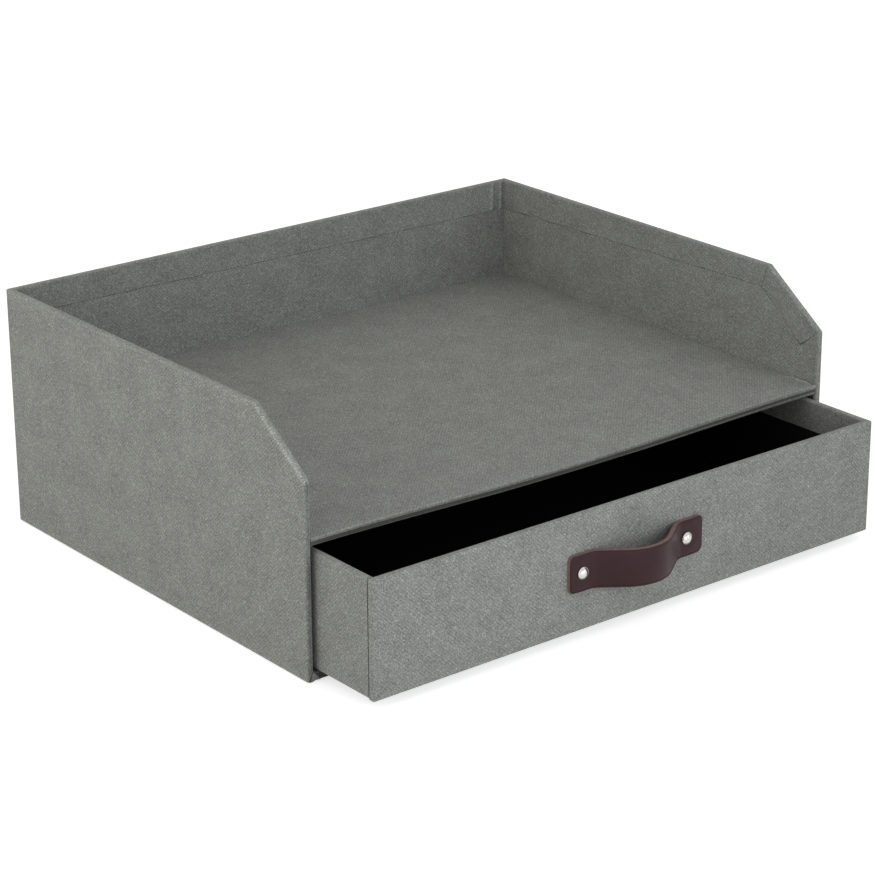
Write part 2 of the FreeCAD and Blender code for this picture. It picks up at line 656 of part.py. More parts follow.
def handle_strap():
    """The leather swept along its path, with round corners, eased outer edges and punched holes."""
    body = new_body("handle_strap")
    path = strap_path(body)
    section = new_sketch(body, "strap_section", "YZ_Plane", f"-strap_shift - {STRAP_END}")
    rectangle(
        section, STRAP_FACE, f"-{HALF_DEPTH}",
        "strap_level - strap_width/2", "strap_level + strap_width/2",
    )
    doc.recompute()
    sweep = body.newObject("PartDesign::AdditivePipe", "strap_sweep")
    sweep.Profile = section
    sweep.Spine = (path, [f"Edge{i}" for i in range(1, path.GeometryCount + 1)])
    doc.recompute()
    box = body.Shape.BoundBox

    def is_corner(edge):
        reach = edge.BoundBox
        across_end = min(abs(reach.XMin - box.XMin), abs(reach.XMax - box.XMax)) < 0.01
        return across_end and reach.YLength > 1.0 and reach.XLength < 0.01 and reach.ZLength < 0.01

    round_edges(body, "end_corners", "strap_corner", is_corner)

    doc.recompute()
    solid = body.Shape

    def lean(face):
        first, last, low, high = face.ParameterRange
        return face.normalAt((first + last) / 2, (low + high) / 2).y

    def is_outer_rim(edge):
        leans = [lean(face) for face in solid.ancestorsOfType(edge, Part.Face)]
        return min(leans) < -0.3 and abs(max(leans)) < 0.1

    round_edges(body, "eased_rim", "min(strap_edge; strap_thick/3)", is_outer_rim)

    holes = new_sketch(body, "rivet_holes", "XZ_Plane", f"-({STRAP_FACE} - 1)")
    for name, across in RIVETS.items():
        circle(holes, f"{name}_hole", across, "strap_level", BORE)
    pocket(body, "punched_holes", holes, "strap_thick + 2")
    return keep(body, in_drawer=True)


def button(label, radius, dome, post_length=None):
    """A domed disc turned about Y, with its flat face at zero and its dome towards -Y.

    The dome is an arc from the axis to the rim. A rivet has a post behind its flat face.
    """
    body = new_body(label)
    profile = new_sketch(body, f"{label}_profile", "XY_Plane")
    wide, high = size(radius), size(dome)
    curve = (wide * wide + high * high) / (2 * high)
    ring = Part.Circle(FreeCAD.Vector(0, curve - high, 0), FreeCAD.Vector(0, 0, 1), curve)
    spread = math.asin(wide / curve)
    quarter = math.pi / 2
    profile.addGeometry(Part.ArcOfCircle(ring, -quarter, -quarter + spread), False)
    post, length = size("rivet_post"), 2 * wide
    corners = [(wide, 0), (post, 0), (post, length), (0, length), (0, -high)]
    if post_length is None:
        corners = [(wide, 0), (0, 0), (0, -high)]
    for start, end in zip(corners, corners[1:]):
        profile.addGeometry(Part.LineSegment(FreeCAD.Vector(*start, 0), FreeCAD.Vector(*end, 0)), False)
    last = len(corners) - 1
    for line in range(last):
        profile.addConstraint(Sketcher.Constraint("Coincident", line, 2, line + 1, 1))
    profile.addConstraint(Sketcher.Constraint("Coincident", last, 2, 0, 1))
    for geometry, end in ((0, 1), (0, 3), (last, 1)):
        profile.addConstraint(Sketcher.Constraint("PointOnObject", geometry, end, -2))
    for geometry, end in ((0, 2), (1, 2)):
        profile.addConstraint(Sketcher.Constraint("PointOnObject", geometry, end, -1))
    rules = [("rim", "DistanceX", 0, 2, wide, radius), ("dome", "DistanceY", 0, 1, -high, f"-{dome}")]
    if post_length is not None:
        profile.addConstraint(Sketcher.Constraint("Vertical", 2))
        profile.addConstraint(Sketcher.Constraint("Horizontal", 3))
        rules.append(("post", "DistanceX", 2, 1, post, "rivet_post"))
        rules.append(("length", "DistanceY", 2, 2, length, post_length))
    for name, kind, geometry, end, value, formula in rules:
        row = profile.addConstraint(Sketcher.Constraint(kind, -1, 1, geometry, end, value))
        profile.renameConstraint(row, name)
        bind(profile, f"Constraints.{name}", formula)
    turned = body.newObject("PartDesign::Revolution", f"{label}_turned")
    turned.Profile = profile
    turned.ReferenceAxis = (profile, ["V_Axis"])
    turned.Angle = 360
    return body


handle_strap()
for side, across in RIVETS.items():
    rivet = button(
        f"{side}_rivet", "rivet_head", "rivet_dome",
        "strap_thick + drawer_board + 2*covering",
    )
    cap = button(f"{side}_rivet_cap", "cap_radius", "cap_dome")
    cap.Placement.Rotation = FreeCAD.Rotation(FreeCAD.Vector(0, 0, 1), 180)
    for piece, front in ((rivet, STRAP_FACE), (cap, f"{FRONT_REAR} + covering")):
        bind(piece, "Placement.Base.x", across)
        bind(piece, "Placement.Base.y", f"{front} - drawer_out")
        bind(piece, "Placement.Base.z", "strap_level")
        keep(piece)


# Checks and files.

doc.recompute()
for item in doc.Objects:
    if "Invalid" in item.State or "Error" in item.State:
        raise RuntimeError(f"{item.Name} failed to compute")
for piece in PARTS:
    if piece.Shape.isNull() or not piece.Shape.isValid():
        raise RuntimeError(f"{piece.Label} has no valid shape")

os.makedirs("parts", exist_ok=True)
for piece in PARTS:
    piece.Shape.exportStep(f"parts/{piece.Label}.step")
    box = piece.Shape.BoundBox
    print(
        f"{piece.Label}: {len(piece.Shape.Solids)} solid, {piece.Shape.Volume:.0f} mm3, "
        f"x {box.XMin:.2f} to {box.XMax:.2f}, y {box.YMin:.2f} to {box.YMax:.2f}, "
        f"z {box.ZMin:.2f} to {box.ZMax:.2f}"
    )
print(f"{len(PARTS)} pieces written")
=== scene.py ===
import math

import bmesh
import bpy
import numpy as np
from mathutils import Matrix, Vector


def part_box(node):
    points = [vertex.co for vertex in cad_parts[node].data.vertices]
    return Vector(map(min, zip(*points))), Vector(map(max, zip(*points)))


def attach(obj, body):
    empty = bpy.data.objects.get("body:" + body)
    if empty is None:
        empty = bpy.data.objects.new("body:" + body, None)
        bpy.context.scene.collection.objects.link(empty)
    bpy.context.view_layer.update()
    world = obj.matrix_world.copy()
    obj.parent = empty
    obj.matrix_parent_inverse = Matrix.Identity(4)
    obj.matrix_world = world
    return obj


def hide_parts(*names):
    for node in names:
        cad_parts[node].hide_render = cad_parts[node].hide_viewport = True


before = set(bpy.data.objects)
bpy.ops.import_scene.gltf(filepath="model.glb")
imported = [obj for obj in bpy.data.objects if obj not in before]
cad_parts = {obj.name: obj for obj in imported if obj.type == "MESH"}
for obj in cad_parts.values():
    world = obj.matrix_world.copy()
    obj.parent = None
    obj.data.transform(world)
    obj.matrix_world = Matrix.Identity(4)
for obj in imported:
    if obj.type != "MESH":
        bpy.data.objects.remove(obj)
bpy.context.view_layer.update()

mm = 0.001


def corners(node):
    # lowest and highest corner of a CAD node, in millimetres
    low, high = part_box(node)
    return np.array(low) / mm, np.array(high) / mm


# the camera

camera = {
    "target": (14.83, 0.0, 38.96), "azimuth": -38.584, "elevation": 20.745, "roll": -0.293,
    "distance": 1479.7, "lens": 115.82,
}


def addCamera(c):
    # back runs from the target to the eye, and the roll turns right and up about it
    az, el, roll = (math.radians(c[key]) for key in ("azimuth", "elevation", "roll"))
    back = np.array([math.sin(az) * math.cos(el), -math.cos(az) * math.cos(el), math.sin(el)])
    right = np.cross([0.0, 0.0, 1.0], back)
    right /= np.linalg.norm(right)
    up = np.cross(back, right)
    place = np.eye(4)
    place[:3, 0] = right * math.cos(roll) + up * math.sin(roll)
    place[:3, 1] = up * math.cos(roll) - right * math.sin(roll)
    place[:3, 2] = back
    place[:3, 3] = (np.array(c["target"]) + back * c["distance"]) * mm
    data = bpy.data.cameras.new("view")
    data.lens, data.sensor_width = c["lens"], 36.0
    data.clip_start, data.clip_end = 0.05, 20.0
    eye = bpy.data.objects.new("view", data)
    eye.matrix_world = Matrix(place.tolist())
    bpy.context.scene.collection.objects.link(eye)
    bpy.context.scene.camera = eye


addCamera(camera)
print("camera placed")


# meshes from grids

def ripple(x, length, seed, waves=5):
    # a smooth wander between about -1 and 1: a sum of sines of random phase and length near length
    rng = np.random.default_rng(seed)
    total = np.zeros_like(np.asarray(x, float))
    for wave in range(waves):
        period = length * rng.uniform(0.45, 1.7)
        total += np.sin(2 * np.pi * (np.asarray(x) / period + rng.uniform()))
    return total / waves * 1.6


def bump(x, middle, width):
    # a rounded hill of height one
    return np.exp(-((np.asarray(x) - middle) / width) ** 2)


def hills(x, parts):
    # several rounded hills, each given as height, middle and width
    return sum(height * bump(x, middle, width) for height, middle, width in parts)


def runs(*parts):
    # stations along a line, from pieces given as (start, end, count)
    return np.concatenate([np.linspace(a, b, n, endpoint=False) for a, b, n in parts] + [[parts[-1][1]]])


def weld(name, patches, outward, thickness=0.0):
    # Grids of points, each with its place on the unrolled sheet and its fold mask (wear, painted
    # highlight and painted shade), become one mesh. Neighbouring points are merged, faces agree with
    # the outward hint at the first face, and the sheet gets its thickness on the inner side.
    points, faces, sheets, folds = [], [], [], []
    count = 0
    for grid, sheet, fold in patches:
        rows, columns = grid.shape[:2]
        index = count + np.arange(rows * columns).reshape(rows, columns)
        quads = np.stack([index[:-1, :-1], index[1:, :-1], index[1:, 1:], index[:-1, 1:]], axis=-1)
        faces.append(quads.reshape(-1, 4))
        points.append(grid.reshape(-1, 3) * mm)
        sheets.append(np.broadcast_to(sheet, (rows, columns, 2)).reshape(-1, 2) * mm)
        folds.append(np.broadcast_to(fold, (rows, columns)).reshape(-1))
        count += rows * columns
    points, faces = np.concatenate(points), np.concatenate(faces)
    sheets, folds = np.concatenate(sheets), np.concatenate(folds)
    mesh = bpy.data.meshes.new(name)
    mesh.from_pydata(points.tolist(), [], faces.tolist())
    layer = mesh.uv_layers.new(name="sheet")
    layer.data.foreach_set("uv", sheets[faces.ravel()].astype(np.float32).ravel())
    mask = mesh.attributes.new("fold", "FLOAT", "POINT")
    mask.data.foreach_set("value", folds.astype(np.float32))
    made = bmesh.new()
    made.from_mesh(mesh)
    bmesh.ops.remove_doubles(made, verts=made.verts, dist=2e-6)
    bmesh.ops.dissolve_degenerate(made, edges=made.edges, dist=1e-7)
    bmesh.ops.recalc_face_normals(made, faces=made.faces)
    made.faces.ensure_lookup_table()
    middle = points[faces[0]].mean(0)
    first = min(made.faces, key=lambda face: np.linalg.norm(np.array(face.calc_center_median()) - middle))
    if np.dot(np.array(first.normal), outward) < 0:
        bmesh.ops.reverse_faces(made, faces=made.faces)
    made.to_mesh(mesh)
    made.free()
    piece = bpy.data.objects.new(name, mesh)
    bpy.context.scene.collection.objects.link(piece)
    if thickness:
        shell = piece.modifiers.new("thickness", "SOLIDIFY")
        shell.thickness, shell.offset = thickness * mm, -1.0
        shell.use_even_offset = False
        shell.thickness_clamp = 1.0
        depsgraph = bpy.context.evaluated_depsgraph_get()
        piece.data = bpy.data.meshes.new_from_object(piece.evaluated_get(depsgraph))
        piece.modifiers.clear()
        piece.data.name = name
    piece.data.shade_smooth()
    piece.data.set_sharp_from_angle(angle=math.radians(50))
    return piece


def finishPiece(piece, body, slotName, material, *nodes):
    # the piece's look, the body it moves with and the solids it stands for; its paint slot is not used
    piece.data.materials.clear()
    piece.data.materials.append(material)
    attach(piece, body)
    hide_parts(*nodes)


# materials

def feed(tree, node, inputs):
    # sets a node's inputs, given as values or as other nodes' sockets
    for key, value in inputs.items():
        if isinstance(value, bpy.types.NodeSocket):
            tree.links.new(value, node.inputs[key])
        else:
            node.inputs[key].default_value = value


def link(tree, kind, inputs=None, **settings):
    # a new node with its settings and inputs
    made = tree.nodes.new(kind)
    for key, value in settings.items():
        setattr(made, key, value)
    feed(tree, made, inputs or {})
    return made


def maths(tree, operation, *values):
    # the result of one maths node
    made = link(tree, "ShaderNodeMath", dict(enumerate(values)), operation=operation)
    return made.outputs[0]


def noise(tree, source, scale, detail, mix=0.5):
    # the outputs of a noise node
    given = {"Vector": source, "Scale": scale, "Detail": detail, "Roughness": mix}
    return link(tree, "ShaderNodeTexNoise", given).outputs


def relief(tree, height, strength, depth):
    # a normal that follows a height
    given = {"Height": height, "Strength": strength, "Distance": depth}
    return link(tree, "ShaderNodeBump", given).outputs[0]


def newGroup(name, inputs, outputs):
    # an empty node group with named sockets
    group = bpy.data.node_groups.new(name, "ShaderNodeTree")
    for title, kind, value in inputs:
        socket = group.interface.new_socket(title, in_out="INPUT", socket_type="NodeSocket" + kind)
        if value is not None:
            socket.default_value = value
    for title, kind in outputs:
        group.interface.new_socket(title, in_out="OUTPUT", socket_type="NodeSocket" + kind)
    return group, group.nodes.new("NodeGroupInput").outputs, group.nodes.new("NodeGroupOutput").inputs


weave = {
    "warpPitch": 0.50, "weftPitch": 0.48,  # thread spacing; the twill line repeats every four threads
    "threadRun": 2.6,  # threads over which one thread keeps its tone
    "threadTone": 0.62, "twill": 0.16, "speck": 0.75, "mottle": 0.42,
    # wear scales the paler folds and rims, wear with painted highlight; the key after it scales the painted
    # shade
    "threadHeight": 0.05, "wear": 0.26, "paintedShading": 0.80,
    "wander": 0.5, "wanderScale": 160.0, "cloudScale": 60.0,
}


def makeWeave(w):
    # A two-over-two twill. Each thread has a tone that drifts along its length; the upper one
    # of the two shows at each crossing, and a few crossings are painted paler, as painted glints.
    group, given, out = newGroup(
        "linenTwill",
        [("Sheet", "Vector", None), ("Colour", "Color", (0.2, 0.2, 0.2, 1)), ("Fold", "Float", 0.0)],
        [("Colour", "Color"), ("Roughness", "Float"), ("Height", "Float")],
    )
    wander = noise(group, given["Sheet"], w["wanderScale"], 1.0)["Color"]
    reach = (w["wander"] * mm, w["wander"] * mm, 0.0)
    drift = {0: wander, 1: reach, 2: given["Sheet"]}
    drift = link(group, "ShaderNodeVectorMath", drift, operation="MULTIPLY_ADD")
    split = link(group, "ShaderNodeSeparateXYZ", {"Vector": drift.outputs[0]})
    across = maths(group, "DIVIDE", split.outputs["X"], w["warpPitch"] * mm)
    upward = maths(group, "DIVIDE", split.outputs["Y"], w["weftPitch"] * mm)
    warp, weft = maths(group, "FLOOR", across), maths(group, "FLOOR", upward)
    quarter = maths(group, "MULTIPLY", maths(group, "ADD", warp, weft), 0.25)
    warpUp = maths(group, "LESS_THAN", maths(group, "FRACT", quarter), 0.5)

    def threadTone(thread, along, row):
        apart = maths(group, "MULTIPLY", thread, 7.31)
        run = maths(group, "DIVIDE", along, w["threadRun"])
        place = link(group, "ShaderNodeCombineXYZ", {"X": apart, "Y": run, "Z": row})
        return noise(group, place.outputs[0], 1.0, 1.0)["Fac"]

    def rounded(position):
        return maths(group, "SINE", maths(group, "MULTIPLY", maths(group, "FRACT", position), math.pi))

    def upper(below, above):
        made = link(group, "ShaderNodeMix", {"Factor": warpUp, "A": below, "B": above}, data_type="FLOAT")
        return made.outputs["Result"]

    tone = upper(threadTone(weft, across, 9.7), threadTone(warp, upward, 3.1))
    height = upper(rounded(upward), rounded(across))
    crossing = link(group, "ShaderNodeCombineXYZ", {"X": warp, "Y": weft, "Z": 1.7})
    paintedGlint = link(group, "ShaderNodeTexWhiteNoise", {"Vector": crossing.outputs[0]}, noise_dimensions="3D")
    paintedGlint = maths(group, "POWER", paintedGlint.outputs["Value"], 6.0)
    cloud = noise(group, given["Sheet"], w["cloudScale"], 3.0)["Fac"]
    total = 1.0
    for value, middle, amount in (
        (tone, 0.5, 2 * w["threadTone"]), (warpUp, 0.5, w["twill"]), (paintedGlint, 0.14, w["speck"]),
        (cloud, 0.5, w["mottle"]),
    ):
        part = maths(group, "MULTIPLY", maths(group, "SUBTRACT", value, middle), amount)
        total = maths(group, "ADD", total, part)
    # a fold mask above zero is paler, wear with painted highlight on folds and rims; one below zero
    # is painted shade in creases, seams, cut edges and recesses
    paleWearAndHighlight = maths(group, "MULTIPLY_ADD", maths(group, "MAXIMUM", given["Fold"], 0.0), w["wear"], 1.0)
    wearAndPaintedLight = maths(group, "MULTIPLY_ADD", maths(group, "MINIMUM", given["Fold"], 0.0), w["paintedShading"], paleWearAndHighlight)
    shade = maths(group, "MAXIMUM", maths(group, "MULTIPLY", total, wearAndPaintedLight), 0.02)
    colour = link(group, "ShaderNodeVectorMath", {0: given["Colour"], "Scale": shade}, operation="SCALE")
    group.links.new(colour.outputs[0], out["Colour"])
    group.links.new(maths(group, "MULTIPLY_ADD", tone, -0.25, 0.95), out["Roughness"])
    group.links.new(maths(group, "MULTIPLY", height, w["threadHeight"] * mm), out["Height"])
    return group


linenTwill = makeWeave(weave)


def newMaterial(name):
    # a material that holds only a Principled BSDF
    material = bpy.data.materials.new(name)
    material.use_nodes = True
    material.node_tree.nodes.clear()
    tree = material.node_tree
    shader = tree.nodes.new("ShaderNodeBsdfPrincipled")
    output = tree.nodes.new("ShaderNodeOutputMaterial")
    tree.links.new(shader.outputs[0], output.inputs["Surface"])
    return material, tree, shader


cloth = {
    "colour": (0.262, 0.268, 0.243), "specular": 0.35, "sheen": 0.12, "sheenRough": 0.5, "relief": 0.6,
}


def clothMaterial(name, c, turned=False, flat=False):
    # flat sheets without a map of their own take the weave from object coordinates
    material, tree, shader = newMaterial(name)
    if flat:
        source = link(tree, "ShaderNodeTexCoord").outputs["Object"]
        fold = 0.0
    else:
        source = link(tree, "ShaderNodeUVMap", uv_map="sheet").outputs[0]
        fold = link(tree, "ShaderNodeAttribute", attribute_name="fold").outputs["Fac"]
    turn = (0.0, 0.0, math.pi / 2) if turned else (0.0, 0.0, 0.0)
    place = link(tree, "ShaderNodeMapping", {"Vector": source, "Rotation": turn})
    given = {"Sheet": place.outputs[0], "Colour": (*c["colour"], 1.0), "Fold": fold}
    twill = link(tree, "ShaderNodeGroup", given, node_tree=linenTwill).outputs
    feed(tree, shader, {
        "Base Color": twill["Colour"], "Roughness": twill["Roughness"],
        "Normal": relief(tree, twill["Height"], c["relief"], 1.0), "Specular IOR Level": c["specular"],
        "Sheen Weight": c["sheen"], "Sheen Roughness": c["sheenRough"],
    })
    return material


coverCloth = clothMaterial("coverCloth", cloth)
coverClothTurned = clothMaterial("coverClothTurned", cloth, turned=True)
sheetCloth = clothMaterial("sheetCloth", cloth, flat=True)


def fibreMaterial(name, s):
    # matte board or paper: fibres as fine noise between two colours, and a faint relief
    material, tree, shader = newMaterial(name)
    source = link(tree, "ShaderNodeTexCoord").outputs["Object"]
    fibre = noise(tree, source, s["scale"], s["detail"], s["mix"])["Fac"]
    ramp = link(tree, "ShaderNodeValToRGB", {"Fac": fibre})
    for element, colour in zip(ramp.color_ramp.elements, s["colours"]):
        element.color = (*colour, 1)
    feed(tree, shader, {
        "Base Color": ramp.outputs[0], "Normal": relief(tree, fibre, s["relief"], s["depth"] * mm),
        "Roughness": s["rough"], "Specular IOR Level": s["specular"],
    })
    return material


# scale, detail and mix are those of the fibres' noise
boardLook = {
    "scale": 900.0, "detail": 4.0, "mix": 0.7, "relief": 0.3, "depth": 0.2, "rough": 0.9,
    "specular": 0.5, "colours": ((0.035, 0.033, 0.030), (0.115, 0.105, 0.092)),
}
paperLook = {
    "scale": 1400.0, "detail": 3.0, "mix": 0.6, "relief": 0.4, "depth": 0.1, "rough": 0.85,
    "specular": 0.2, "colours": ((0.0030, 0.0030, 0.0032), (0.0090, 0.0088, 0.0088)),
}
leather = {
    "colour": (0.037, 0.0150, 0.0165), "edge": (0.27, 0.175, 0.16), "specular": 0.17,
    "patchScale": 70.0, "grainScale": 420.0, "poreScale": 1700.0, "relief": 0.25, "depth": 0.1,
    "rough": 0.40, "edgeRough": 0.35, "grainRough": 0.12,
}


def shades(tree, noise, colour, stops):
    # a colour made darker and paler by noise, with its share given at two places of the noise
    ramp = link(tree, "ShaderNodeValToRGB", {"Fac": noise})
    for element, (place, share) in zip(ramp.color_ramp.elements, stops):
        element.position = place
        element.color = (*[v * share for v in colour], 1)
    return ramp.outputs[0]


def leatherMaterial(c):
    # smooth brown leather with fine pores; the cut edges are paler and rough
    material, tree, shader = newMaterial("brownLeather")
    source = link(tree, "ShaderNodeUVMap", uv_map="sheet").outputs[0]
    edge = link(tree, "ShaderNodeAttribute", attribute_name="fold").outputs["Fac"]
    given = {"Vector": source, "Scale": c["poreScale"]}
    pores = link(tree, "ShaderNodeTexVoronoi", given, feature="DISTANCE_TO_EDGE").outputs["Distance"]
    grain = noise(tree, source, c["grainScale"], 5.0, 0.6)["Fac"]
    patch = noise(tree, source, c["patchScale"], 3.0)["Fac"]
    face = shades(tree, patch, c["colour"], ((0.3, 0.86), (0.75, 1.16)))
    raw = shades(tree, grain, c["edge"], ((0.0, 0.55), (1.0, 1.25)))
    mix = link(tree, "ShaderNodeMix", {0: edge, 6: face, 7: raw}, data_type="RGBA")
    rough = maths(tree, "MULTIPLY_ADD", edge, c["edgeRough"], c["rough"])
    rough = maths(tree, "ADD", rough, maths(tree, "MULTIPLY", grain, c["grainRough"]))
    height = maths(tree, "MULTIPLY_ADD", grain, 0.6, maths(tree, "MINIMUM", pores, 0.2))
    feed(tree, shader, {
        "Base Color": mix.outputs[2], "Roughness": rough, "Specular IOR Level": c["specular"],
        "Normal": relief(tree, height, c["relief"], c["depth"] * mm),
    })
    return material


nickel = {"colour": (0.62, 0.60, 0.565), "scale": 1500.0, "rough": 0.08, "wear": 0.08}


def nickelMaterial(c):
    # polished metal, a little duller in patches
    material, tree, shader = newMaterial("polishedNickel")
    source = link(tree, "ShaderNodeTexCoord").outputs["Object"]
    wear = noise(tree, source, c["scale"], 3.0)["Fac"]
    feed(tree, shader, {
        "Base Color": (*c["colour"], 1.0), "Metallic": 1.0,
        "Roughness": maths(tree, "MULTIPLY_ADD", wear, c["wear"], c["rough"]),
    })
    return material


fibreboard, blackPaper = fibreMaterial("fibreboard", boardLook), fibreMaterial("blackPaper", paperLook)
brownLeather, polishedNickel = leatherMaterial(leather), nickelMaterial(nickel)
print("materials made")


def coverPiece(piece, body, *nodes, weave=coverCloth):
    finishPiece(piece, body, "grey_covering", weave, *nodes)


# the case's outer covering

outerLow, outerHigh = corners("outer_cover")
case = {
    "wall": 3.5, "fold": 0.9, "innerTurn": 0.5, "paper": 0.28,
    "slopeRun": 38.0, "slopeDrop": 27.2,
    "turnLeft": 14.2, "turnRight": 16.6, "turnFront": 12.2, "toeRun": 12.6, "toeDrop": 36.4,
    "under": 15.0, "frontReturn": 1.6, "seamGap": 0.35, "rows": 12,
    # painted shade across the front faces of the side walls, from their outer to their inner side; only the
    # left wall's is shaded
    "endShade": ((-0.05, -0.5), (0.0, 0.0)),  # the front edges, from their outer to their inner side
    # paler rims and slopes: wear with painted highlight, the left slope painted lighter than the right
    "rimWearAndHighlight": 0.55, "slopeWearAndHighlight": (2.2, 1.2), "seamWander": (0.16, 0.06),
    # hills across the mitre, for its depth and for the painted shade in its groove with a painted highlight
    # beside it
    "mitre": ((0.22, 0, 0.32), (-0.10, 0.85, 0.5)), "mitreLightAndShade": ((0.35, 0.75, 0.4), (-0.60, 0, 0.26)),
    # painted highlight and painted shade beside a pleat: its height, its place and its width as shares of
    # the pleat's
    "pleatLightAndShade": ((0.9, -0.4, 1.0), (-0.35, 1.0, 0.7)),
}
slopeAngle = math.atan2(case["slopeDrop"], case["slopeRun"])
front, back = outerLow[1], outerHigh[1]
side, top = outerHigh[0], outerHigh[2]
innerSide, innerBack = side - case["wall"], back - case["wall"]


def rimHeight(y):
    # the top of the walls: level, then down the sloped corner, rounded off at the front edge
    ahead = np.clip(front + case["slopeRun"] - y, 0, None)
    level = top - ahead * math.tan(slopeAngle)
    nearFront = np.clip(1 - (y - front) / case["fold"], 0, 1)
    return level - case["fold"] * 0.7 * (1 - np.sqrt(1 - nearFront ** 2 * 0.999))


def seamLine(y, backDepth):
    # the lower edge of the turn-in on a side wall: along the top, along the slope, up at its toe
    c = case
    knee = front + c["slopeRun"] + c["turnFront"] * math.tan(slopeAngle / 2)
    ys = [front, front + c["toeRun"], knee, innerBack]
    zs = [top - c["slopeDrop"] - 0.3, top - c["toeDrop"], top - c["turnFront"], top - backDepth]
    return np.interp(y, ys, zs)


def quarterTurn(centre, radius, start, steps=6):
    # a quarter of a circle, clockwise seen from above
    angle = np.radians(np.linspace(start, start - 90, steps))
    return np.c_[centre[0] + radius * np.cos(angle), centre[1] + radius * np.sin(angle)]


def withMirror(line):
    # the left half of a line, carried on by its mirror image from the middle to the right
    return np.r_[line, line[-2::-1] * [-1.0, 1.0]]


def casePath(c):
    # outer and inner line of the three walls seen from above, from the left front round the back
    r, t = c["fold"], c["innerTurn"]
    spread = np.radians(np.linspace(0, 90, 6))
    ends = r * (1 - np.sin(spread)), r * (1 - np.cos(spread))
    turned = front + c["frontReturn"]
    sideY = runs(
        (front + r, turned, 4), (turned, turned + 0.05, 1), (turned + 0.05, front + 16, 30),
        (front + 16, front + 36, 12), (front + 36, front + 46, 50),
        (front + 46, back - 30, 60), (back - 30, back - r, 60),
    )
    nearBack = np.clip((sideY - back + 30) / (30 - r), 0, 1)
    innerY = sideY - nearBack * (back - r - innerBack + t)
    outerSide = np.r_[np.c_[-side + ends[0], front + ends[1]], np.c_[np.full(len(sideY), -side), sideY]]
    innerSideLine = np.r_[
        np.c_[-innerSide - ends[0], front + ends[1]], np.c_[np.full(len(sideY), -innerSide), innerY]
    ]
    outerCorner = quarterTurn((-side + r, back - r), r, 180)
    innerCorner = quarterTurn((-innerSide + t, innerBack - t), t, 180)
    acrossOuter = runs((-side + r, -side + 30, 60), (-side + 30, 0, 34))
    scale = (innerSide - t) / (side - r)
    outer = np.r_[outerSide, outerCorner, np.c_[acrossOuter, np.full(len(acrossOuter), back)]]
    innerBackLine = np.c_[acrossOuter * scale, np.full(len(acrossOuter), innerBack)]
    inner = np.r_[innerSideLine, innerCorner, innerBackLine]
    return withMirror(outer), withMirror(inner)


def pathLength(points):
    # distance along a line of points, from its start
    return np.r_[0, np.cumsum(np.linalg.norm(np.diff(points, axis=0), axis=1))]


def caseSeam(inner, alongInner):
    # height of the turn-in's edge at every station, with the small wander of a hand-cut edge
    x, y = inner[:, 0], inner[:, 1]
    level = np.interp(x, [-innerSide, innerSide], [top - case["turnLeft"], top - case["turnRight"]])
    left, right = seamLine(y, case["turnLeft"]), seamLine(y, case["turnRight"])
    onBack = y > innerBack - 0.6
    cut = np.where(onBack, level, np.where(x < 0, left, right)) + seamWander(alongInner)
    return np.where(y < front + case["frontReturn"] + 0.01, outerLow[2] + case["fold"], cut)


def seamWander(along):
    # a slow wander plus a quick one, of the sheet's cut edge
    slow, quick = case["seamWander"]
    return slow * ripple(along, 34, 11) + quick * ripple(along, 7, 12)


outerPath, innerPath = casePath(case)
alongOuter, alongInner = pathLength(outerPath), pathLength(innerPath)
cornerAt = alongInner[np.argmax(innerPath[:, 1] > innerBack - 0.01)]
# place along the inner line, half width and height of each pleat
case["pleats"] = [
    (alongInner[-1] - cornerAt - 1.9, 0.9, 0.8), (alongInner[-1] - cornerAt - 8.2, 1.1, 0.8),
    (cornerAt - 2.4, 0.8, 0.35), (cornerAt + 6.8, 0.8, 0.35),
]


underRows, foldRows = 3, 5  # rows of a wall's section below its bottom fold, and round each fold
footRow = underRows + foldRows  # the row at the foot of the outer face


def turnSteps(radius, steps=foldRows):
    # how far in and how far down a quarter-round fold is at each of its steps, from face to top
    angle = np.radians(np.linspace(0, 90, steps))
    return radius * (1 - np.cos(angle)), radius * (1 - np.sin(angle))


def profileRows(rim, foot, seamAt, wall, fold, underWidth, faceRows):
    # One section through a covered wall at every station: in from the edge under the base, round
    # the bottom fold, up the outer face, over the top and down the inside to the seam. share runs
    # from 0 at the outer face to 1 at the inner one. The mask is above zero on the folds, paler for
    # wear and painted highlight, and below zero at the turn-in's cut edge, a painted shadow line.
    n = len(rim)
    inward, down = turnSteps(fold)
    shares, heights, masks = [], [], []

    def row(share, height, mask):
        shares.append(np.broadcast_to(np.asarray(share, float), n))
        heights.append(np.broadcast_to(np.asarray(height, float), n))
        masks.append(mask)

    for part in (1.0, 0.6, 0.25):
        row((fold + (underWidth - fold) * part) / wall, foot, 0)
    for inset, drop in zip(inward[::-1], down[::-1]):
        row(inset / wall, foot + drop, 1)
    low, high = foot + fold, rim - fold
    faceParts = np.r_[0.006, np.linspace(0.03, 0.97, faceRows), 0.994]
    for part in faceParts:
        row(0, low + (high - low) * part, 0 if 0.02 < part < 0.98 else 0.35)
    for inset, drop in zip(inward, down):
        row(inset / wall, rim - drop, 1)
    for part in (0.3, 0.7):
        row((fold + (wall - 2 * fold) * part) / wall, rim, 0.75)
    for inset, drop in zip(inward[::-1], down[::-1]):
        row(1 - inset / wall, rim - drop, 1)
    turnParts = np.r_[1 - faceParts[::-1], 1.0]
    for part in turnParts:
        row(1, high + (seamAt - high) * part, 0.35 if part < 0.02 else 0)
    # the turn-in's cut edge, painted dark as the seam's shadow line
    row(1, seamAt - 0.12, -0.9)
    return np.stack(shares, 1), np.stack(heights, 1), np.array(masks, float)


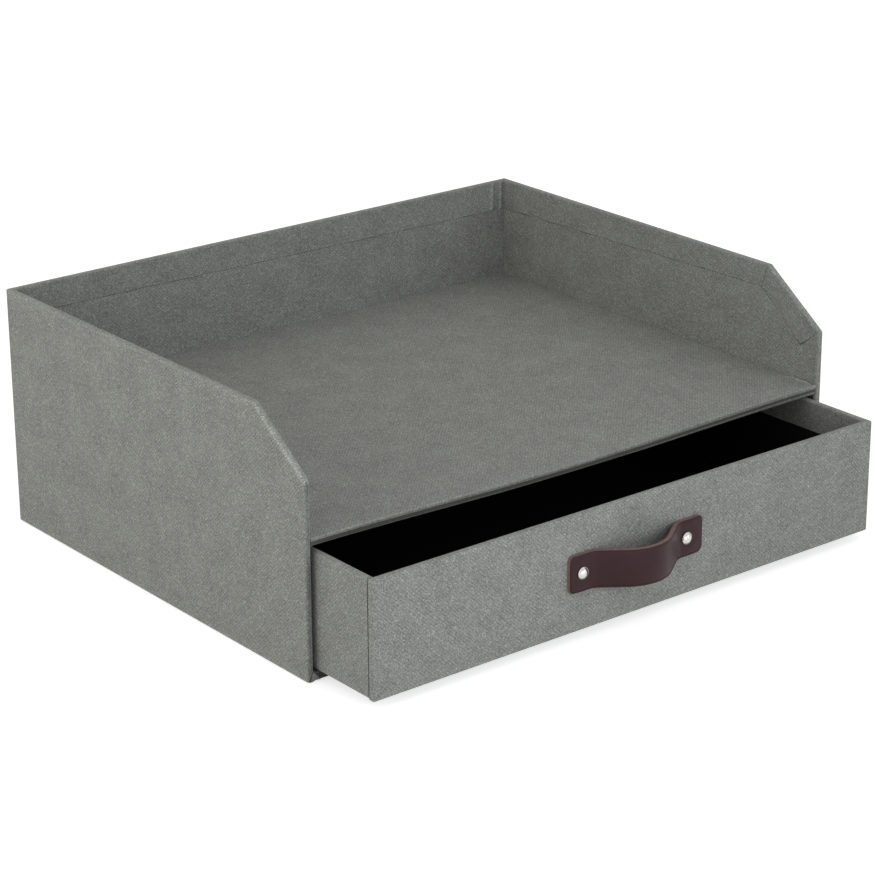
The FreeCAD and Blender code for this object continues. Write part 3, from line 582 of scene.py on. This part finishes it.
def frontEnd(points, sheet, faceRows, first):
    # the narrow face at the front of a side wall, between the outer and the inner column of rows
    rows = []
    crossing = np.array([0, 0.3, 0.7, 1.0])[:, None]
    outerRows = np.arange(underRows, footRow + faceRows + foldRows)
    innerFoot = len(points) - 3  # the row inside at the height of the foot row
    inner = innerFoot - (outerRows - footRow)
    for row, opposite in zip(outerRows, inner):
        start = points[row]
        if row < footRow - 1:
            end = np.array([points[-1][0], points[-1][1], start[2]])
        elif row == footRow - 1:
            end = points[-2]
        else:
            end = points[opposite]
        rows.append(start + (end - start) * crossing)
    grid = np.array(rows)
    width = np.linalg.norm(grid - grid[:, :1], axis=2)
    along = sheet[0, 0] + (-width if first else width)
    place = np.dstack([along, np.repeat(sheet[outerRows, 1][:, None], 4, 1)])
    # painted shade across the left wall's front face, darker towards its inner side; the right one has none
    mask = np.interp(crossing[:, 0], [0, 1], case["endShade"][0 if first else 1])
    return grid, place, np.repeat(mask[None, :], len(rows), 0)


def pleats(points, share, inward, alongInner, rim, seam):
    # the sheet gathered at the back corners shows as small ridges down the turn-in, with a
    # painted highlight on one side of each ridge and painted shade on the other
    depth = np.clip((rim[:, None] - points[:, :, 2]) / 1.6, 0, 1) * (share > 0.98)
    fade = np.clip((points[:, :, 2] - seam[:, None]) / 2.5, 0, 1) ** 0.5
    push, shade = np.zeros(len(points)), np.zeros(len(points))
    for place, width, height in case["pleats"]:
        push += height * bump(alongInner, place, width)
        tones = [(tone, place + width * shift, width * share) for tone, shift, share in case["pleatLightAndShade"]]
        shade += height * hills(alongInner, tones)
    lift = push[:, None] * depth * (0.55 + 0.45 * fade)
    return points - inward[:, None, :] * lift[:, :, None], shade[:, None] * depth


def mitre(points, rim, share):
    # The mitre across the sloped corner is a shallow groove from the rim's bend to the seam's knee.
    # Gives how deep it lies, and the painted shade in the groove and the painted highlight beside
    # it that go into the fold mask.
    y, z = points[:, :, 1], points[:, :, 2]
    kneeY = front + case["slopeRun"]
    away = (y - kneeY - (top - z) * math.tan(slopeAngle / 2)) * math.cos(slopeAngle / 2)
    onSide = (np.abs(points[:, :, 0]) < innerSide + 0.02) & (share > 0.98)
    groove = hills(away, case["mitre"]) * onSide * np.clip((rim[:, None] - z) / 1.2, 0, 1)
    tone = hills(away, case["mitreLightAndShade"]) * onSide * np.clip((top - z) / 1.5, 0, 1)
    return groove, tone


def fromCorners(path, along, halfWidth, rear):
    # distance along a path to the nearer of its two back corners
    corner = along[np.argmin(np.abs(path[:, 0] + halfWidth) + np.abs(path[:, 1] - rear))]
    return np.minimum(np.abs(along - corner), np.abs(along - (along[-1] - corner)))


def wallGrid(outer, inner, along, share, height):
    # a wall's section at every station, and its places on the unrolled sheet
    plan = outer[:, None, :] + (inner - outer)[:, None, :] * share[:, :, None]
    points = np.dstack([plan, height])
    steps = np.linalg.norm(np.diff(points, axis=1), axis=2)
    upward = np.c_[np.zeros(len(outer)), np.cumsum(steps, axis=1)]
    upward = upward - upward[:, footRow][:, None]
    return points, np.dstack([np.repeat(along[:, None], upward.shape[1], 1), upward])


def caseWrap():
    # The section carried round the three walls, then pushed in by the pleats and the mitre. The
    # fold mask is the section's, times the wear and painted highlight of the rim or of the slope, with
    # the painted highlight and shade of the pleats and the mitre added.
    c = case
    fromEnd = np.minimum(alongOuter, alongOuter[-1] - alongOuter)
    fromCorner = fromCorners(outerPath, alongOuter, side, back)
    underWidth = np.minimum(c["under"], np.minimum(c["wall"] + fromEnd, c["fold"] + 0.6 + fromCorner))
    rim = rimHeight(outerPath[:, 1])
    seam = caseSeam(innerPath, alongInner)
    share, height, mask = profileRows(
        rim, outerLow[2], seam, c["wall"], c["fold"], underWidth, c["rows"]
    )
    points, sheet = wallGrid(outerPath, innerPath, alongOuter, share, height)
    ahead = np.clip((front + c["slopeRun"] - outerPath[:, 1]) / 4, 0, 1)
    slopeWearAndHighlight = np.where(outerPath[:, 0] < 0, *c["slopeWearAndHighlight"])
    wear = c["rimWearAndHighlight"] + (slopeWearAndHighlight - c["rimWearAndHighlight"]) * ahead
    topRows = np.arange(len(mask)) > footRow + c["rows"]
    # paler towards the outer side of the rim, a painted highlight
    outward = np.clip(1.15 - share, 0.3, 1)
    wornAndLit = np.where(topRows[None, :], wear[:, None] * outward, 0.5)
    fold = np.where(mask[None, :] > 0, mask[None, :] * wornAndLit, mask[None, :])
    ends = [frontEnd(points[k], sheet[k], c["rows"] + 2, k == 0) for k in (0, -1)]
    wallward = np.gradient(innerPath, axis=0)
    wallward = np.c_[-wallward[:, 1], wallward[:, 0]] / np.linalg.norm(wallward, axis=1)[:, None]
    wallward = np.c_[wallward, np.zeros(len(wallward))]
    points, shade = pleats(points, share, wallward, alongInner, rim, seam)
    # the mitre's painted shade and painted highlight join the fold mask
    groove, paintedShading = mitre(points, rim, share)
    points[:, :, 0] += np.sign(points[:, :, 0]) * groove
    fold = fold + shade + paintedShading
    return [(points, sheet, np.clip(fold, -1, 2.4))] + ends


coverPiece(weld("caseWrap", caseWrap(), (-1, 0, 0), case["paper"]), "case", "outer_cover")
print("case covering made")


# the linings inside the case

lining = {
    # the linings are painted darker below the tray floor, as shade inside the drawer's bay
    "paper": 0.28, "behind": 0.06, "foot": 4.2, "frontGap": 1.67, "bayTop": 67.3, "bayShade": -0.85,
    "gapAt": (0, 4, 8, 12.6, 15, 20, 40, 46), "gapShare": (0.8, 1.2, 2.0, 2.6, 1.8, 1.3, 1.3, 1.0),
}


def liningRows(upper):
    # heights from the bay floor to the cut edge; the cloth is painted dark inside the drawer's bay,
    # as shade under the tray floor, and its cut edge is painted dark as the seam's shadow line
    s = lining
    shares = np.r_[0.3, 0.7, 0.97, 0.996, 1]
    bay = np.broadcast_to([s["foot"], s["bayTop"] - 0.8, s["bayTop"]], (len(upper), 3))
    above = s["bayTop"] + (upper[:, None] - s["bayTop"]) * shares[None, :]
    return np.c_[bay, above], np.r_[s["bayShade"], s["bayShade"], 0, 0, 0, 0, 0, -0.8]


def liningSheet(name, x, y, upper, outward):
    # an upright sheet on the bay floor, flat in x or in y, with its upper edge as given
    z, tone = liningRows(upper)
    points = np.dstack(np.broadcast_arrays(np.c_[x], np.c_[y], z))
    sheet = points[:, :, [0, 2]] if outward[1] else points[:, :, [1, 2]]
    return weld(name, [(points, sheet, tone[None, :])], outward, lining["paper"] - lining["behind"])


def sideLining(name, sign, backDepth):
    # a flat sheet on the inner side wall, its upper edge cut to follow the turn-in's edge
    s = lining
    onSide = innerPath[:, 0] * sign > innerSide - 0.01
    onSide &= innerPath[:, 1] <= innerBack - case["innerTurn"] + 0.01
    order = np.argsort(innerPath[onSide, 1])
    y, along = innerPath[onSide, 1][order], alongInner[onSide][order]
    y[-1] = innerBack + s["behind"] + 0.02
    forward = y > front + s["frontGap"]
    y = np.r_[front + s["frontGap"], y[forward]]
    along = np.r_[np.interp(y[0], innerPath[onSide, 1][order], along), along[forward]]
    seam = seamLine(y, backDepth) + seamWander(along)
    gap = case["seamGap"] * (0.62 + 0.42 * ripple(y, 19, 31 + int(sign > 0)))
    gap = gap * np.interp(y - front, s["gapAt"], s["gapShare"])
    upper = seam - np.clip(gap, 0.1, 0.8)
    return liningSheet(name, sign * (innerSide + s["behind"]), y, upper, (-sign, 0, 0))


def backLiningSheet():
    # a flat sheet on the back wall, its upper edge cut to follow the turn-in's edge
    s = lining
    onBack = innerPath[:, 1] > innerBack - 0.01
    x, along = innerPath[onBack, 0], alongInner[onBack]
    level = np.interp(x, [-innerSide, innerSide], [top - case["turnLeft"], top - case["turnRight"]])
    gap = case["seamGap"] * (0.62 + 0.42 * ripple(x, 23, 41))
    upper = level + seamWander(along) - np.clip(gap, 0.1, 0.6)
    reach = innerSide / x.max()
    return liningSheet("backLining", x * reach, innerBack + s["behind"], upper, (0, -1, 0))


for where, sign, depth in (("left", -1, case["turnLeft"]), ("right", 1, case["turnRight"])):
    coverPiece(sideLining(where + "Lining", sign, depth), "case", where + "_lining")
coverPiece(backLiningSheet(), "case", "back_lining")
print("linings made")


# the bay floor's covering, folded down over the front of the base and under it

bay = {
    "top": 4.2, "foot": 0.32, "fold": 0.8, "under": 14.5, "paper": 0.28, "sideGap": 0.1, "back": 0.30,
    # the whole covering is painted a little darker, as shade under the drawer and the tray floor
    "tone": -0.4, "rows": 6,
}
tuck = {
    "outer": 164.4, "inner": 157.6, "apex": 161.5, "low": 0.45, "outerLow": 1.1, "high": 5.6, "paper": 0.2,
    # across the tuck from its outer to its inner end: painted shade along the outer edge, a narrow painted
    # highlight just inside it, and painted shade towards the inner end
    "toneAt": (0, 0.13, 0.2, 0.28, 0.5, 1), "tone": (-0.95, -0.9, 0, 0.5, 0, -0.5),
}


def foldedFront(lowY, low, lowFold, highY, high, highFold):
    # y and z of a sheet round the front of a board: a quarter turn below and one above
    turn = np.radians(np.linspace(0, 90, 6))
    yLow, zLow = lowY + lowFold * (1 - np.sin(turn)), low + lowFold * (1 - np.cos(turn))
    yHigh, zHigh = highY + highFold * (1 - np.cos(turn)), high - highFold * (1 - np.sin(turn))
    return np.r_[yLow, yHigh], np.r_[zLow, zHigh]


def bayEdge(s):
    # the section as y and z: back under the base, up its front edge, and along the floor's top
    frontY, behind = front + s["back"], innerBack - 0.1
    yFold, zFold = foldedFront(frontY, s["foot"], s["fold"], frontY, s["top"], s["fold"])
    level = frontY + s["fold"] + 0.8
    yTop = level + (behind - level) * np.linspace(0, 1, s["rows"])
    y = np.r_[frontY + s["under"], frontY + s["fold"] + 1.2, yFold, yTop]
    return y, np.r_[s["foot"], s["foot"], zFold, np.full(s["rows"], s["top"])]


def bayFloor():
    # the section drawn straight across from wall to wall, painted a little darker all over as shade
    s = bay
    y, z = bayEdge(s)
    x = runs((-innerSide + s["sideGap"], innerSide - s["sideGap"], 80))
    along = pathLength(np.c_[y, z])
    xx, yy, zz, sheetY = np.broadcast_arrays(x[:, None], y[None, :], z[None, :], along[None, :])
    patch = np.dstack([xx, yy, zz]), np.dstack([xx, sheetY]), s["tone"]
    return weld("bayFloor", [patch], (0, 0, -1), s["paper"])


def footTuck(name, sign):
    # a small three-cornered tuck where the base's covering is folded over the foot of a side wall,
    # with painted shade and a painted highlight across it
    s = tuck
    rise = np.linspace(0, 1, 7)[:, None]
    across = np.linspace(0, 1, 19)[None, :]
    start = s["outer"] + (s["apex"] - s["outer"]) * rise
    end = s["inner"] + (s["apex"] + 0.25 - s["inner"]) * rise
    x = (start + (end - start) * across) * sign
    z = s["low"] + (s["high"] - s["low"]) * rise ** 0.9
    z = z + (s["outerLow"] - s["low"]) * (1 - across) * (1 - rise)
    y = np.full_like(x, front + 0.12) - 0.3 * bump(across, 0.12, 0.12) - 0.08 * across
    tone = np.interp(across, s["toneAt"], s["tone"])
    points = np.dstack([x, y, z])
    return weld(name, [(points, points[:, :, [0, 2]], tone)], (0, -1, 0), s["paper"])


coverPiece(bayFloor(), "case", "base_cover", weave=coverClothTurned)
for name, sign in (("leftTuck", -1), ("rightTuck", 1)):
    coverPiece(footTuck(name, sign), "case")
print("bay floor made")


# the tray floor's covering

shelf = {
    "top": 71.0, "thick": 3.5, "fold": 0.45, "nose": 0.5, "lean": 0.9, "sag": 2.7, "under": 15.0,
    # the ridge by the right wall is also painted paler, a painted highlight
    "paper": 0.28, "sideGap": 0.12, "ridge": 0.9, "ridgeHighlight": 1.1, "rows": 60,
    "lipAt": (-150, -100, -50, -15, 15, 50, 80, 150),
    "lipDrop": (0.5, 0.65, 0.75, 0.58, 0.58, 1.0, 1.15, 1.55),
    # painted highlight on the shelf's rounded front rim, strongest at the left end
    "edgeAt": (-161, -120, -40, 60, 161), "edgeHighlight": (1.2, 0.9, 0.25, 0.2, 0.6),
}


def sagAt(x, y):
    # level at the walls and the back, and lowest in the middle of the front edge
    t = np.clip((innerSide - np.abs(x)) / innerSide, 0, 1)
    return shelf["sag"] * (3 * t ** 2 - 2 * t ** 3) * (innerBack - y) / (innerBack - front)


def shelfEdge(s):
    # the section at the front: back under the board, up the edge that leans back a little below
    # its middle, round the top, and along the tray floor to the back wall; the edge's face and
    # underside are painted in shade
    low, high, topRows = s["top"] - s["thick"], s["top"], s["rows"]
    yFold, zFold = foldedFront(front + s["lean"], low, s["nose"], front, high, s["fold"])
    inside = np.linspace(0, 1, topRows) ** 1.5
    yTop = front + s["fold"] + 0.6 + (innerBack - 0.05 - front - s["fold"] - 0.6) * inside
    y = np.r_[front + s["under"], front + s["nose"] + 2.4, yFold, yTop]
    z = np.r_[low, low, zFold, np.full(topRows, high)]
    lower = np.r_[0, 0, np.ones(6), np.zeros(6 + topRows)]
    # painted shade on the edge's underside, lower nose and face, fading out towards the top
    mask = np.r_[-0.5, -0.5, np.full(5, -0.45), -0.36, -0.10, -0.08, 0, 0, 0, 0, np.zeros(topRows)]
    return y, z, mask, lower


def shelfSkin():
    # the section drawn across from wall to wall, lowered by the sag at each point
    s = shelf
    y, z, mask, lower = shelfEdge(s)
    half = innerSide - s["sideGap"]
    x = runs(
        (-half, -half + 12, 16), (-half + 12, half - 12, 110),
        (half - 12, half - 3, 14), (half - 3, half, 16),
    )
    yy, zz = np.repeat(y[None, :], len(x), 0), np.repeat(z[None, :], len(x), 0)
    xx = np.repeat(x[:, None], len(y), 1)
    # the lower lip hangs a little below the board, more towards the right end
    lip = np.interp(x, s["lipAt"], s["lipDrop"])
    # the covering lifts in a short ridge where it meets the right wall near the front
    nearFront = np.clip((yy - front - 3) / 1.5, 0, 1) * np.clip((front + 20 - yy) / 4, 0, 1)
    ridge = bump(xx, half - 0.8, 0.75) * nearFront
    height = zz - sagAt(xx, yy) - lip[:, None] * lower[None, :] + s["ridge"] * ridge
    onEdge = np.r_[np.zeros(10), 0.5, 1, 1, 1, 0.6, np.zeros(len(y) - 15)]
    edgeHighlight = np.interp(x, s["edgeAt"], s["edgeHighlight"])
    # painted shade on the edge's face, painted highlight on its rim and on the ridge
    tone = mask[None, :] + edgeHighlight[:, None] * onEdge[None, :] + s["ridgeHighlight"] * ridge
    along = pathLength(np.c_[y, z])
    sheet = np.dstack([xx, np.repeat(along[None, :], len(x), 0)])
    return weld("shelfSkin", [(np.dstack([xx, yy, height]), sheet, tone)], (0, 0, -1), s["paper"])


coverPiece(shelfSkin(), "case", "shelf_cover", weave=coverClothTurned)
print("tray floor made")


# the drawer's coverings

wrapLow, wrapHigh = corners("drawer_wrap")
faceLow = corners("drawer_front_cover")[0]
drawer = {
    "wall": 3.3, "fold": 0.85, "innerTurn": 0.4, "paper": 0.28, "turnIn": 15.6, "under": 15.0,
    # wear scales the paler folds, wear with painted highlight; edgeShade is how far the painted shadow
    # reaches from the wrap's cut ends
    "seam": 0.34, "wear": 0.25, "edgeShade": 0.3, "seamWander": 0.15, "rows": 8,
}
drawerSide, drawerBack, drawerTop = wrapHigh
drawerFoot = wrapLow[2]
faceFront, faceRear, faceFoot = faceLow[1], wrapLow[1], faceLow[2]


def drawerPath(d):
    # outer and inner line of the drawer's three walls seen from above, like the case's
    r, t = d["fold"], d["innerTurn"]
    start = faceRear + d["seam"] / 2
    sideY = runs(
        (start, start + 0.3, 2), (start + 0.3, start + 6, 8), (start + 6, drawerBack - 8, 80),
        (drawerBack - 8, drawerBack - r, 8),
    )
    innerX, innerY = drawerSide - d["wall"], drawerBack - d["wall"]
    scale = (innerY - t - start) / (drawerBack - r - start)
    outerCorner = quarterTurn((-drawerSide + r, drawerBack - r), r, 180)
    innerCorner = quarterTurn((-innerX + t, innerY - t), t, 180)
    acrossX = runs((-drawerSide + r, 0, 60))
    outer = np.r_[
        np.c_[np.full(len(sideY), -drawerSide), sideY], outerCorner,
        np.c_[acrossX, np.full(len(acrossX), drawerBack)],
    ]
    inner = np.r_[
        np.c_[np.full(len(sideY), -innerX), start + (sideY - start) * scale], innerCorner,
        np.c_[acrossX * (innerX - t) / (drawerSide - r), np.full(len(acrossX), innerY)],
    ]
    return withMirror(outer), withMirror(inner)


def sweptWall(outer, inner, foot, underWidth, seed):
    # the wall's section along its path; both ends are cut edges painted in shadow
    d = drawer
    along, rim = pathLength(outer), np.full(len(outer), drawerTop)
    seamAt = drawerTop - d["turnIn"] + d["seamWander"] * ripple(along, 30, seed)
    share, height, mask = profileRows(rim, foot, seamAt, d["wall"], d["fold"], underWidth, d["rows"])
    points, sheet = wallGrid(outer, inner, along, share, height)
    # folds paler for wear and painted highlight; the turn-in's cut edge keeps its painted shadow line
    tone = np.where(mask > 0, mask * d["wear"], mask)
    nearEnd = np.minimum(along, along[-1] - along)
    cut = -0.9 * np.clip(1 - nearEnd / d["edgeShade"], 0, 1)
    return points, sheet, tone[None, :] + cut[:, None]


def drawerWrap():
    # one sheet round the left, the back and the right, mitred under the two back corners
    d = drawer
    outer, inner = drawerPath(d)
    fromCorner = fromCorners(outer, pathLength(outer), drawerSide, drawerBack)
    under = np.minimum(d["under"], d["fold"] + 0.6 + fromCorner)
    patch = sweptWall(outer, inner, drawerFoot, under, 51)
    return weld("drawerWrap", [patch], (-1, 0, 0), d["paper"])


def drawerFace():
    # the front's covering turns back a little way along both sides, where its edge shows
    d = drawer
    r = d["fold"]
    leg = faceRear - d["seam"] / 2
    legs = np.r_[leg, leg - 0.15, leg - 0.3, np.linspace(leg - 0.8, faceFront + r, 3)[:-1]]
    corner = quarterTurn((-drawerSide + r, faceFront + r), r, 180)
    corner[:, 1] = 2 * (faceFront + r) - corner[:, 1]
    acrossX = runs((-drawerSide + r, 0, 80))
    sideLine = np.c_[np.full(len(legs), -drawerSide), legs]
    outer = np.r_[sideLine, corner, np.c_[acrossX, np.full(len(acrossX), faceFront)]]
    innerX = drawerSide - d["wall"]
    pivot = np.repeat([[-innerX, faceRear]], len(legs) + len(corner), 0)
    inner = np.r_[pivot, np.c_[acrossX * innerX / (drawerSide - r), np.full(len(acrossX), faceRear)]]
    outer, inner = withMirror(outer), withMirror(inner)
    patch = sweptWall(outer, inner, faceFoot, np.full(len(outer), d["wall"] * 0.9), 61)
    return weld("drawerFace", [patch], (-1, 0, 0), d["paper"])


coverPiece(drawerWrap(), "drawer", "drawer_wrap")
coverPiece(drawerFace(), "drawer", "drawer_front_cover")
print("drawer coverings made")


# the leather strap and its rivets

strap = {
    "thick": 2.3, "width": 19.0, "rise": 14.2, "slope": 36.4, "bend": 10.0, "crown": 23.0,
    "headGap": 0.1, "head": 3.5, "tip": 9.9, "middle": -3.3, "level": 35.2,
    "corner": 3.0, "outerEdge": 0.55, "innerEdge": 0.25, "leftTrim": 2.2,
    "parings": 7.0, "pared": 0.7, "edgeDroop": 0.16,
    "press": ((0.30, 0, 4.6), (-0.10, 6.6, 1.8)),  # hills round a rivet, for the dent under its head
}


def strapLine(s):
    # the stops along the strap's middle line from tip to tip, its headings there, and how far
    # the rivets stand from its middle
    slope = math.radians(s["slope"])
    flank = (s["rise"] - (s["bend"] + s["crown"]) * (1 - math.cos(slope))) / math.sin(slope)
    bow = (s["bend"] + s["crown"]) * math.sin(slope) + flank * math.cos(slope)
    foot = s["headGap"] + s["head"] + s["tip"]
    lengths = [foot, s["bend"] * slope, flank, s["crown"] * 2 * slope, flank, s["bend"] * slope, foot]
    stops = np.r_[0, np.cumsum(lengths)]
    stops -= stops[-1] / 2
    headings = [0, 0, -slope, -slope, slope, slope, 0, 0]
    return stops, headings, bow + s["headGap"] + s["head"]


strapStops, strapHeadings, rivetReach = strapLine(strap)


def bendStrap(along, across, out):
    # puts flat leather on the bowed line: along it, across it, and out from its middle layer
    fine = np.linspace(strapStops[0], strapStops[-1], 6001)
    heading = np.interp(fine, strapStops, strapHeadings)
    step = fine[1] - fine[0]
    x = np.r_[0, np.cumsum(np.cos((heading[1:] + heading[:-1]) / 2)) * step]
    y = np.r_[0, np.cumsum(np.sin((heading[1:] + heading[:-1]) / 2)) * step]
    x += strap["middle"] - x[-1] / 2
    y += faceFront - strap["thick"] / 2
    turn = np.interp(along, strapStops, strapHeadings)
    px, py = np.interp(along, fine, x), np.interp(along, fine, y)
    return np.dstack([px + out * np.sin(turn), py - out * np.cos(turn), strap["level"] + across])


def roundedStrip(half, wide, corner, straight, arc):
    # outline of a strip with round corners, and the point of its spine that each goes with
    end = half - wide
    topX = np.linspace(-end, end, straight)
    angle = np.radians(np.linspace(90, 0, arc))
    cornerX = half - corner + corner * np.cos(angle)
    cornerY = wide - corner + corner * np.sin(angle)
    lead = np.linspace(end, half - corner, 8)[1:-1]
    fall = np.linspace(wide - corner, -(wide - corner), 14)[1:-1]
    x = np.r_[topX, lead, cornerX, np.full(len(fall), half), cornerX[::-1], lead[::-1]]
    y = np.r_[np.full(straight + len(lead), wide), cornerY, fall, -cornerY[::-1], np.full(len(lead), -wide)]
    outline = np.c_[x, y]
    outline = np.r_[outline, -outline]
    spine = np.c_[np.clip(outline[:, 0], -end, end), np.zeros(len(outline))]
    return np.r_[outline, outline[:1]], np.r_[spine, spine[:1]]


def leatherStrap():
    # Rings of the strap's outline drawn in towards its spine, one for each level through the
    # leather, dented round the rivets and then bent to the bowed line.
    s = strap
    half, wide, h = strapStops[-1], s["width"] / 2, s["thick"] / 2
    outline, spine = roundedStrip(half, wide, s["corner"], 150, 9)
    inset, drop = turnSteps(s["outerEdge"])
    backInset, backDrop = turnSteps(s["innerEdge"], 3)
    faceRows, backRows = 14, 6
    depth = np.r_[
        np.linspace(wide, 1.2, faceRows), inset[::-1], 0, 0, backInset, np.linspace(0.8, wide, backRows)
    ]
    # outer face, rounded edge, cut side, rounded back edge, back face
    level = np.r_[
        np.full(faceRows, h), h - s["outerEdge"] + drop[::-1], 0.25, -0.4, -h + backDrop,
        np.full(backRows, -h),
    ]
    mask = np.r_[
        np.zeros(faceRows), 0, 0, 0.15, 0.6, 0.9, 1, 1, 1, 0.8, 0.5, np.full(backRows, 0.3)
    ]
    share = (depth / wide)[None, :, None]
    flat = outline[:, None, :] + (spine - outline)[:, None, :] * share
    along, across = flat[:, :, 0], flat[:, :, 1]
    # the left tip is cut a little shorter than the right one
    leftFoot = s["tip"] - half
    shorter = leftFoot + (along - leftFoot) * (1 - s["leftTrim"] / s["tip"])
    along = np.where(along < leftFoot, shorter, along)
    out = np.repeat(level[None, :], len(outline), 0)
    face = (np.arange(len(level)) < faceRows + 3).astype(float)[None, :]
    for sign in (-1, 1):
        reach = np.hypot(along - sign * (half - s["tip"]), across)
        out = out - face * hills(reach, s["press"])
    out = out - face * s["edgeDroop"] * np.abs(across / wide) ** 5
    # the tips are pared thinner from the outer side
    pared = np.clip((np.abs(along) - half + s["parings"]) / s["parings"], 0, 1)
    out = out - s["pared"] * pared * (out + h) / s["thick"]
    sheet = np.dstack([along, across])
    return weld("strap", [(bendStrap(along, across, out), sheet, mask[None, :])], (0, -1, 0))


finishPiece(leatherStrap(), "drawer", "brown_leather", brownLeather, "handle_strap")


def turned(name, profile, centre, outward, steps=48):
    # a profile of radius and height turned about the y axis; height runs against outward
    angle = np.linspace(0, 2 * np.pi, steps + 1)
    radius, height = np.array(profile, float).T
    points = np.dstack([
        centre[0] + np.cos(angle)[:, None] * radius[None, :],
        np.repeat(centre[1] + height[None, :], steps + 1, 0),
        centre[2] + np.sin(angle)[:, None] * radius[None, :],
    ])
    return weld(name, [(points, points[:, :, [0, 2]], 0.0)], outward)


rivet = {
    "head": 3.15, "dome": 1.9, "post": 1.55, "lip": 0.22, "cap": 3.8, "capDome": 1.0,
    "rightShift": -0.8,  # the right rivet stands a little further in
}


def domeProfile(radius, dome):
    # an arc from the axis to a small rounded lip at the rim
    lip = rivet["lip"]
    curve = ((radius - lip) ** 2 + (dome - lip) ** 2) / (2 * (dome - lip))
    angle = np.linspace(0, math.asin((radius - lip) / curve), 14)
    arc = np.c_[curve * np.sin(angle), curve * (1 - np.cos(angle)) - dome]
    turn = np.radians(np.linspace(60, -90, 7))
    rim = np.c_[radius - lip + lip * np.cos(turn), -lip - lip * np.sin(turn)]
    return np.r_[arc, rim]


for name, sign in (("left_rivet", -1), ("right_rivet", 1)):
    x = strap["middle"] + sign * rivetReach + rivet["rightShift"] * (sign > 0)
    headFoot = faceFront - strap["thick"]
    postEnd = corners(name)[1][1] - headFoot
    head = domeProfile(rivet["head"], rivet["dome"])
    post = [(rivet["post"], 0.0), (rivet["post"], postEnd), (0, postEnd)]
    piece = turned(name.replace("_r", "R"), np.r_[head, post], (x, headFoot, strap["level"]), (0, -1, 0))
    finishPiece(piece, "drawer", "polished_nickel", polishedNickel, name)
    capLow = corners(name + "_cap")[0]
    cap = np.r_[domeProfile(rivet["cap"], rivet["capDome"]), [(0, 0)]] * [1, -1]
    piece = turned(name.replace("_r", "R") + "Cap", cap, (x, capLow[1], strap["level"]), (0, 1, 0))
    finishPiece(piece, "drawer", "polished_nickel", polishedNickel, name + "_cap")
print("strap and rivets made")


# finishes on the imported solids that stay

def repaint(node, material):
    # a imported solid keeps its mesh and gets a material
    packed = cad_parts[node]
    packed.data.materials.clear()
    packed.data.materials.append(material)


boards = [
    "left_side_board", "right_side_board", "back_board", "base_board", "shelf_board",
    "drawer_front_board", "drawer_left_board", "drawer_right_board", "drawer_back_board",
    "drawer_base_board",
]
for node in boards:
    repaint(node, fibreboard)
for node in ("base_sheet", "shelf_underside_sheet", "drawer_underside_sheet"):
    repaint(node, sheetCloth)
for node in ("drawer_floor_lining", "drawer_wall_lining"):
    repaint(node, blackPaper)
print("packed pieces painted")


# the floor and the light

studio = {
    "world": 0.56, "floorColour": 0.80, "floorGlow": 0.04, "seenGlow": 0.60, "floorSize": 6000.0,
    "aim": (-60, -60, 40),  # where all three lamps point
    "left": {"place": (-900, 0, 300), "size": 600, "power": 1.55, "colour": (1.0, 1.0, 0.98)},
    "right": {"place": (300, -900, 300), "size": 340, "power": 0.95, "colour": (0.97, 1.0, 1.12)},
    "fill": {"place": (-110, -450, 80), "size": 200, "power": 0.20, "colour": (0.97, 1.0, 1.12)},
}


def seenDirectly(tree):
    # one where the camera, a mirror or glass sees the surface, and nought for the light it gives
    path = link(tree, "ShaderNodeLightPath")
    seen = maths(tree, "MAXIMUM", path.outputs["Is Camera Ray"], path.outputs["Is Glossy Ray"])
    return maths(tree, "MAXIMUM", seen, path.outputs["Is Transmission Ray"])


def studioFloor(s):
    # a flat pale square, which glows more where it is seen directly
    half = s["floorSize"] * mm / 2
    mesh = bpy.data.meshes.new("floor")
    points = [(-half, -half, 0), (half, -half, 0), (half, half, 0), (-half, half, 0)]
    mesh.from_pydata(points, [], [(0, 1, 2, 3)])
    floor = bpy.data.objects.new("floor", mesh)
    bpy.context.scene.collection.objects.link(floor)
    material, tree, shader = newMaterial("floor")
    shader.inputs["Base Color"].default_value = (*[s["floorColour"]] * 3, 1.0)
    shader.inputs["Roughness"].default_value = 0.9
    shader.inputs["Emission Color"].default_value = (1.0, 1.0, 1.0, 1.0)
    glow = maths(tree, "MULTIPLY_ADD", seenDirectly(tree), s["seenGlow"], s["floorGlow"])
    tree.links.new(glow, shader.inputs["Emission Strength"])
    mesh.materials.append(material)


def studioWorld(s):
    # white where the camera or a mirror sees it, and a plain soft light on the object
    world = bpy.data.worlds.new("studio")
    world.use_nodes = True
    tree = world.node_tree
    tree.nodes.clear()
    strength = maths(tree, "MULTIPLY_ADD", seenDirectly(tree), 1 - s["world"], s["world"])
    glow = link(tree, "ShaderNodeBackground", {"Strength": strength})
    glow.inputs["Color"].default_value = (1.0, 1.0, 1.0, 1.0)
    output = tree.nodes.new("ShaderNodeOutputWorld")
    tree.links.new(glow.outputs[0], output.inputs["Surface"])
    bpy.context.scene.world = world


def softbox(name, s, aim):
    # a square lamp turned from its place towards aim
    data = bpy.data.lights.new(name, "AREA")
    data.shape, data.size = "SQUARE", s["size"] * mm
    data.energy, data.color = s["power"], s["colour"]
    lamp = bpy.data.objects.new(name, data)
    place = Vector(s["place"]) * mm
    turn = (Vector(aim) * mm - place).to_track_quat("-Z", "Y").to_matrix().to_4x4()
    lamp.matrix_world = Matrix.Translation(place) @ turn
    lamp.visible_camera = False
    bpy.context.scene.collection.objects.link(lamp)


studioFloor(studio)
studioWorld(studio)
for name in ("left", "right", "fill"):
    softbox(name, studio[name], studio["aim"])
bpy.context.scene.view_settings.view_transform = "Standard"
print("studio made")
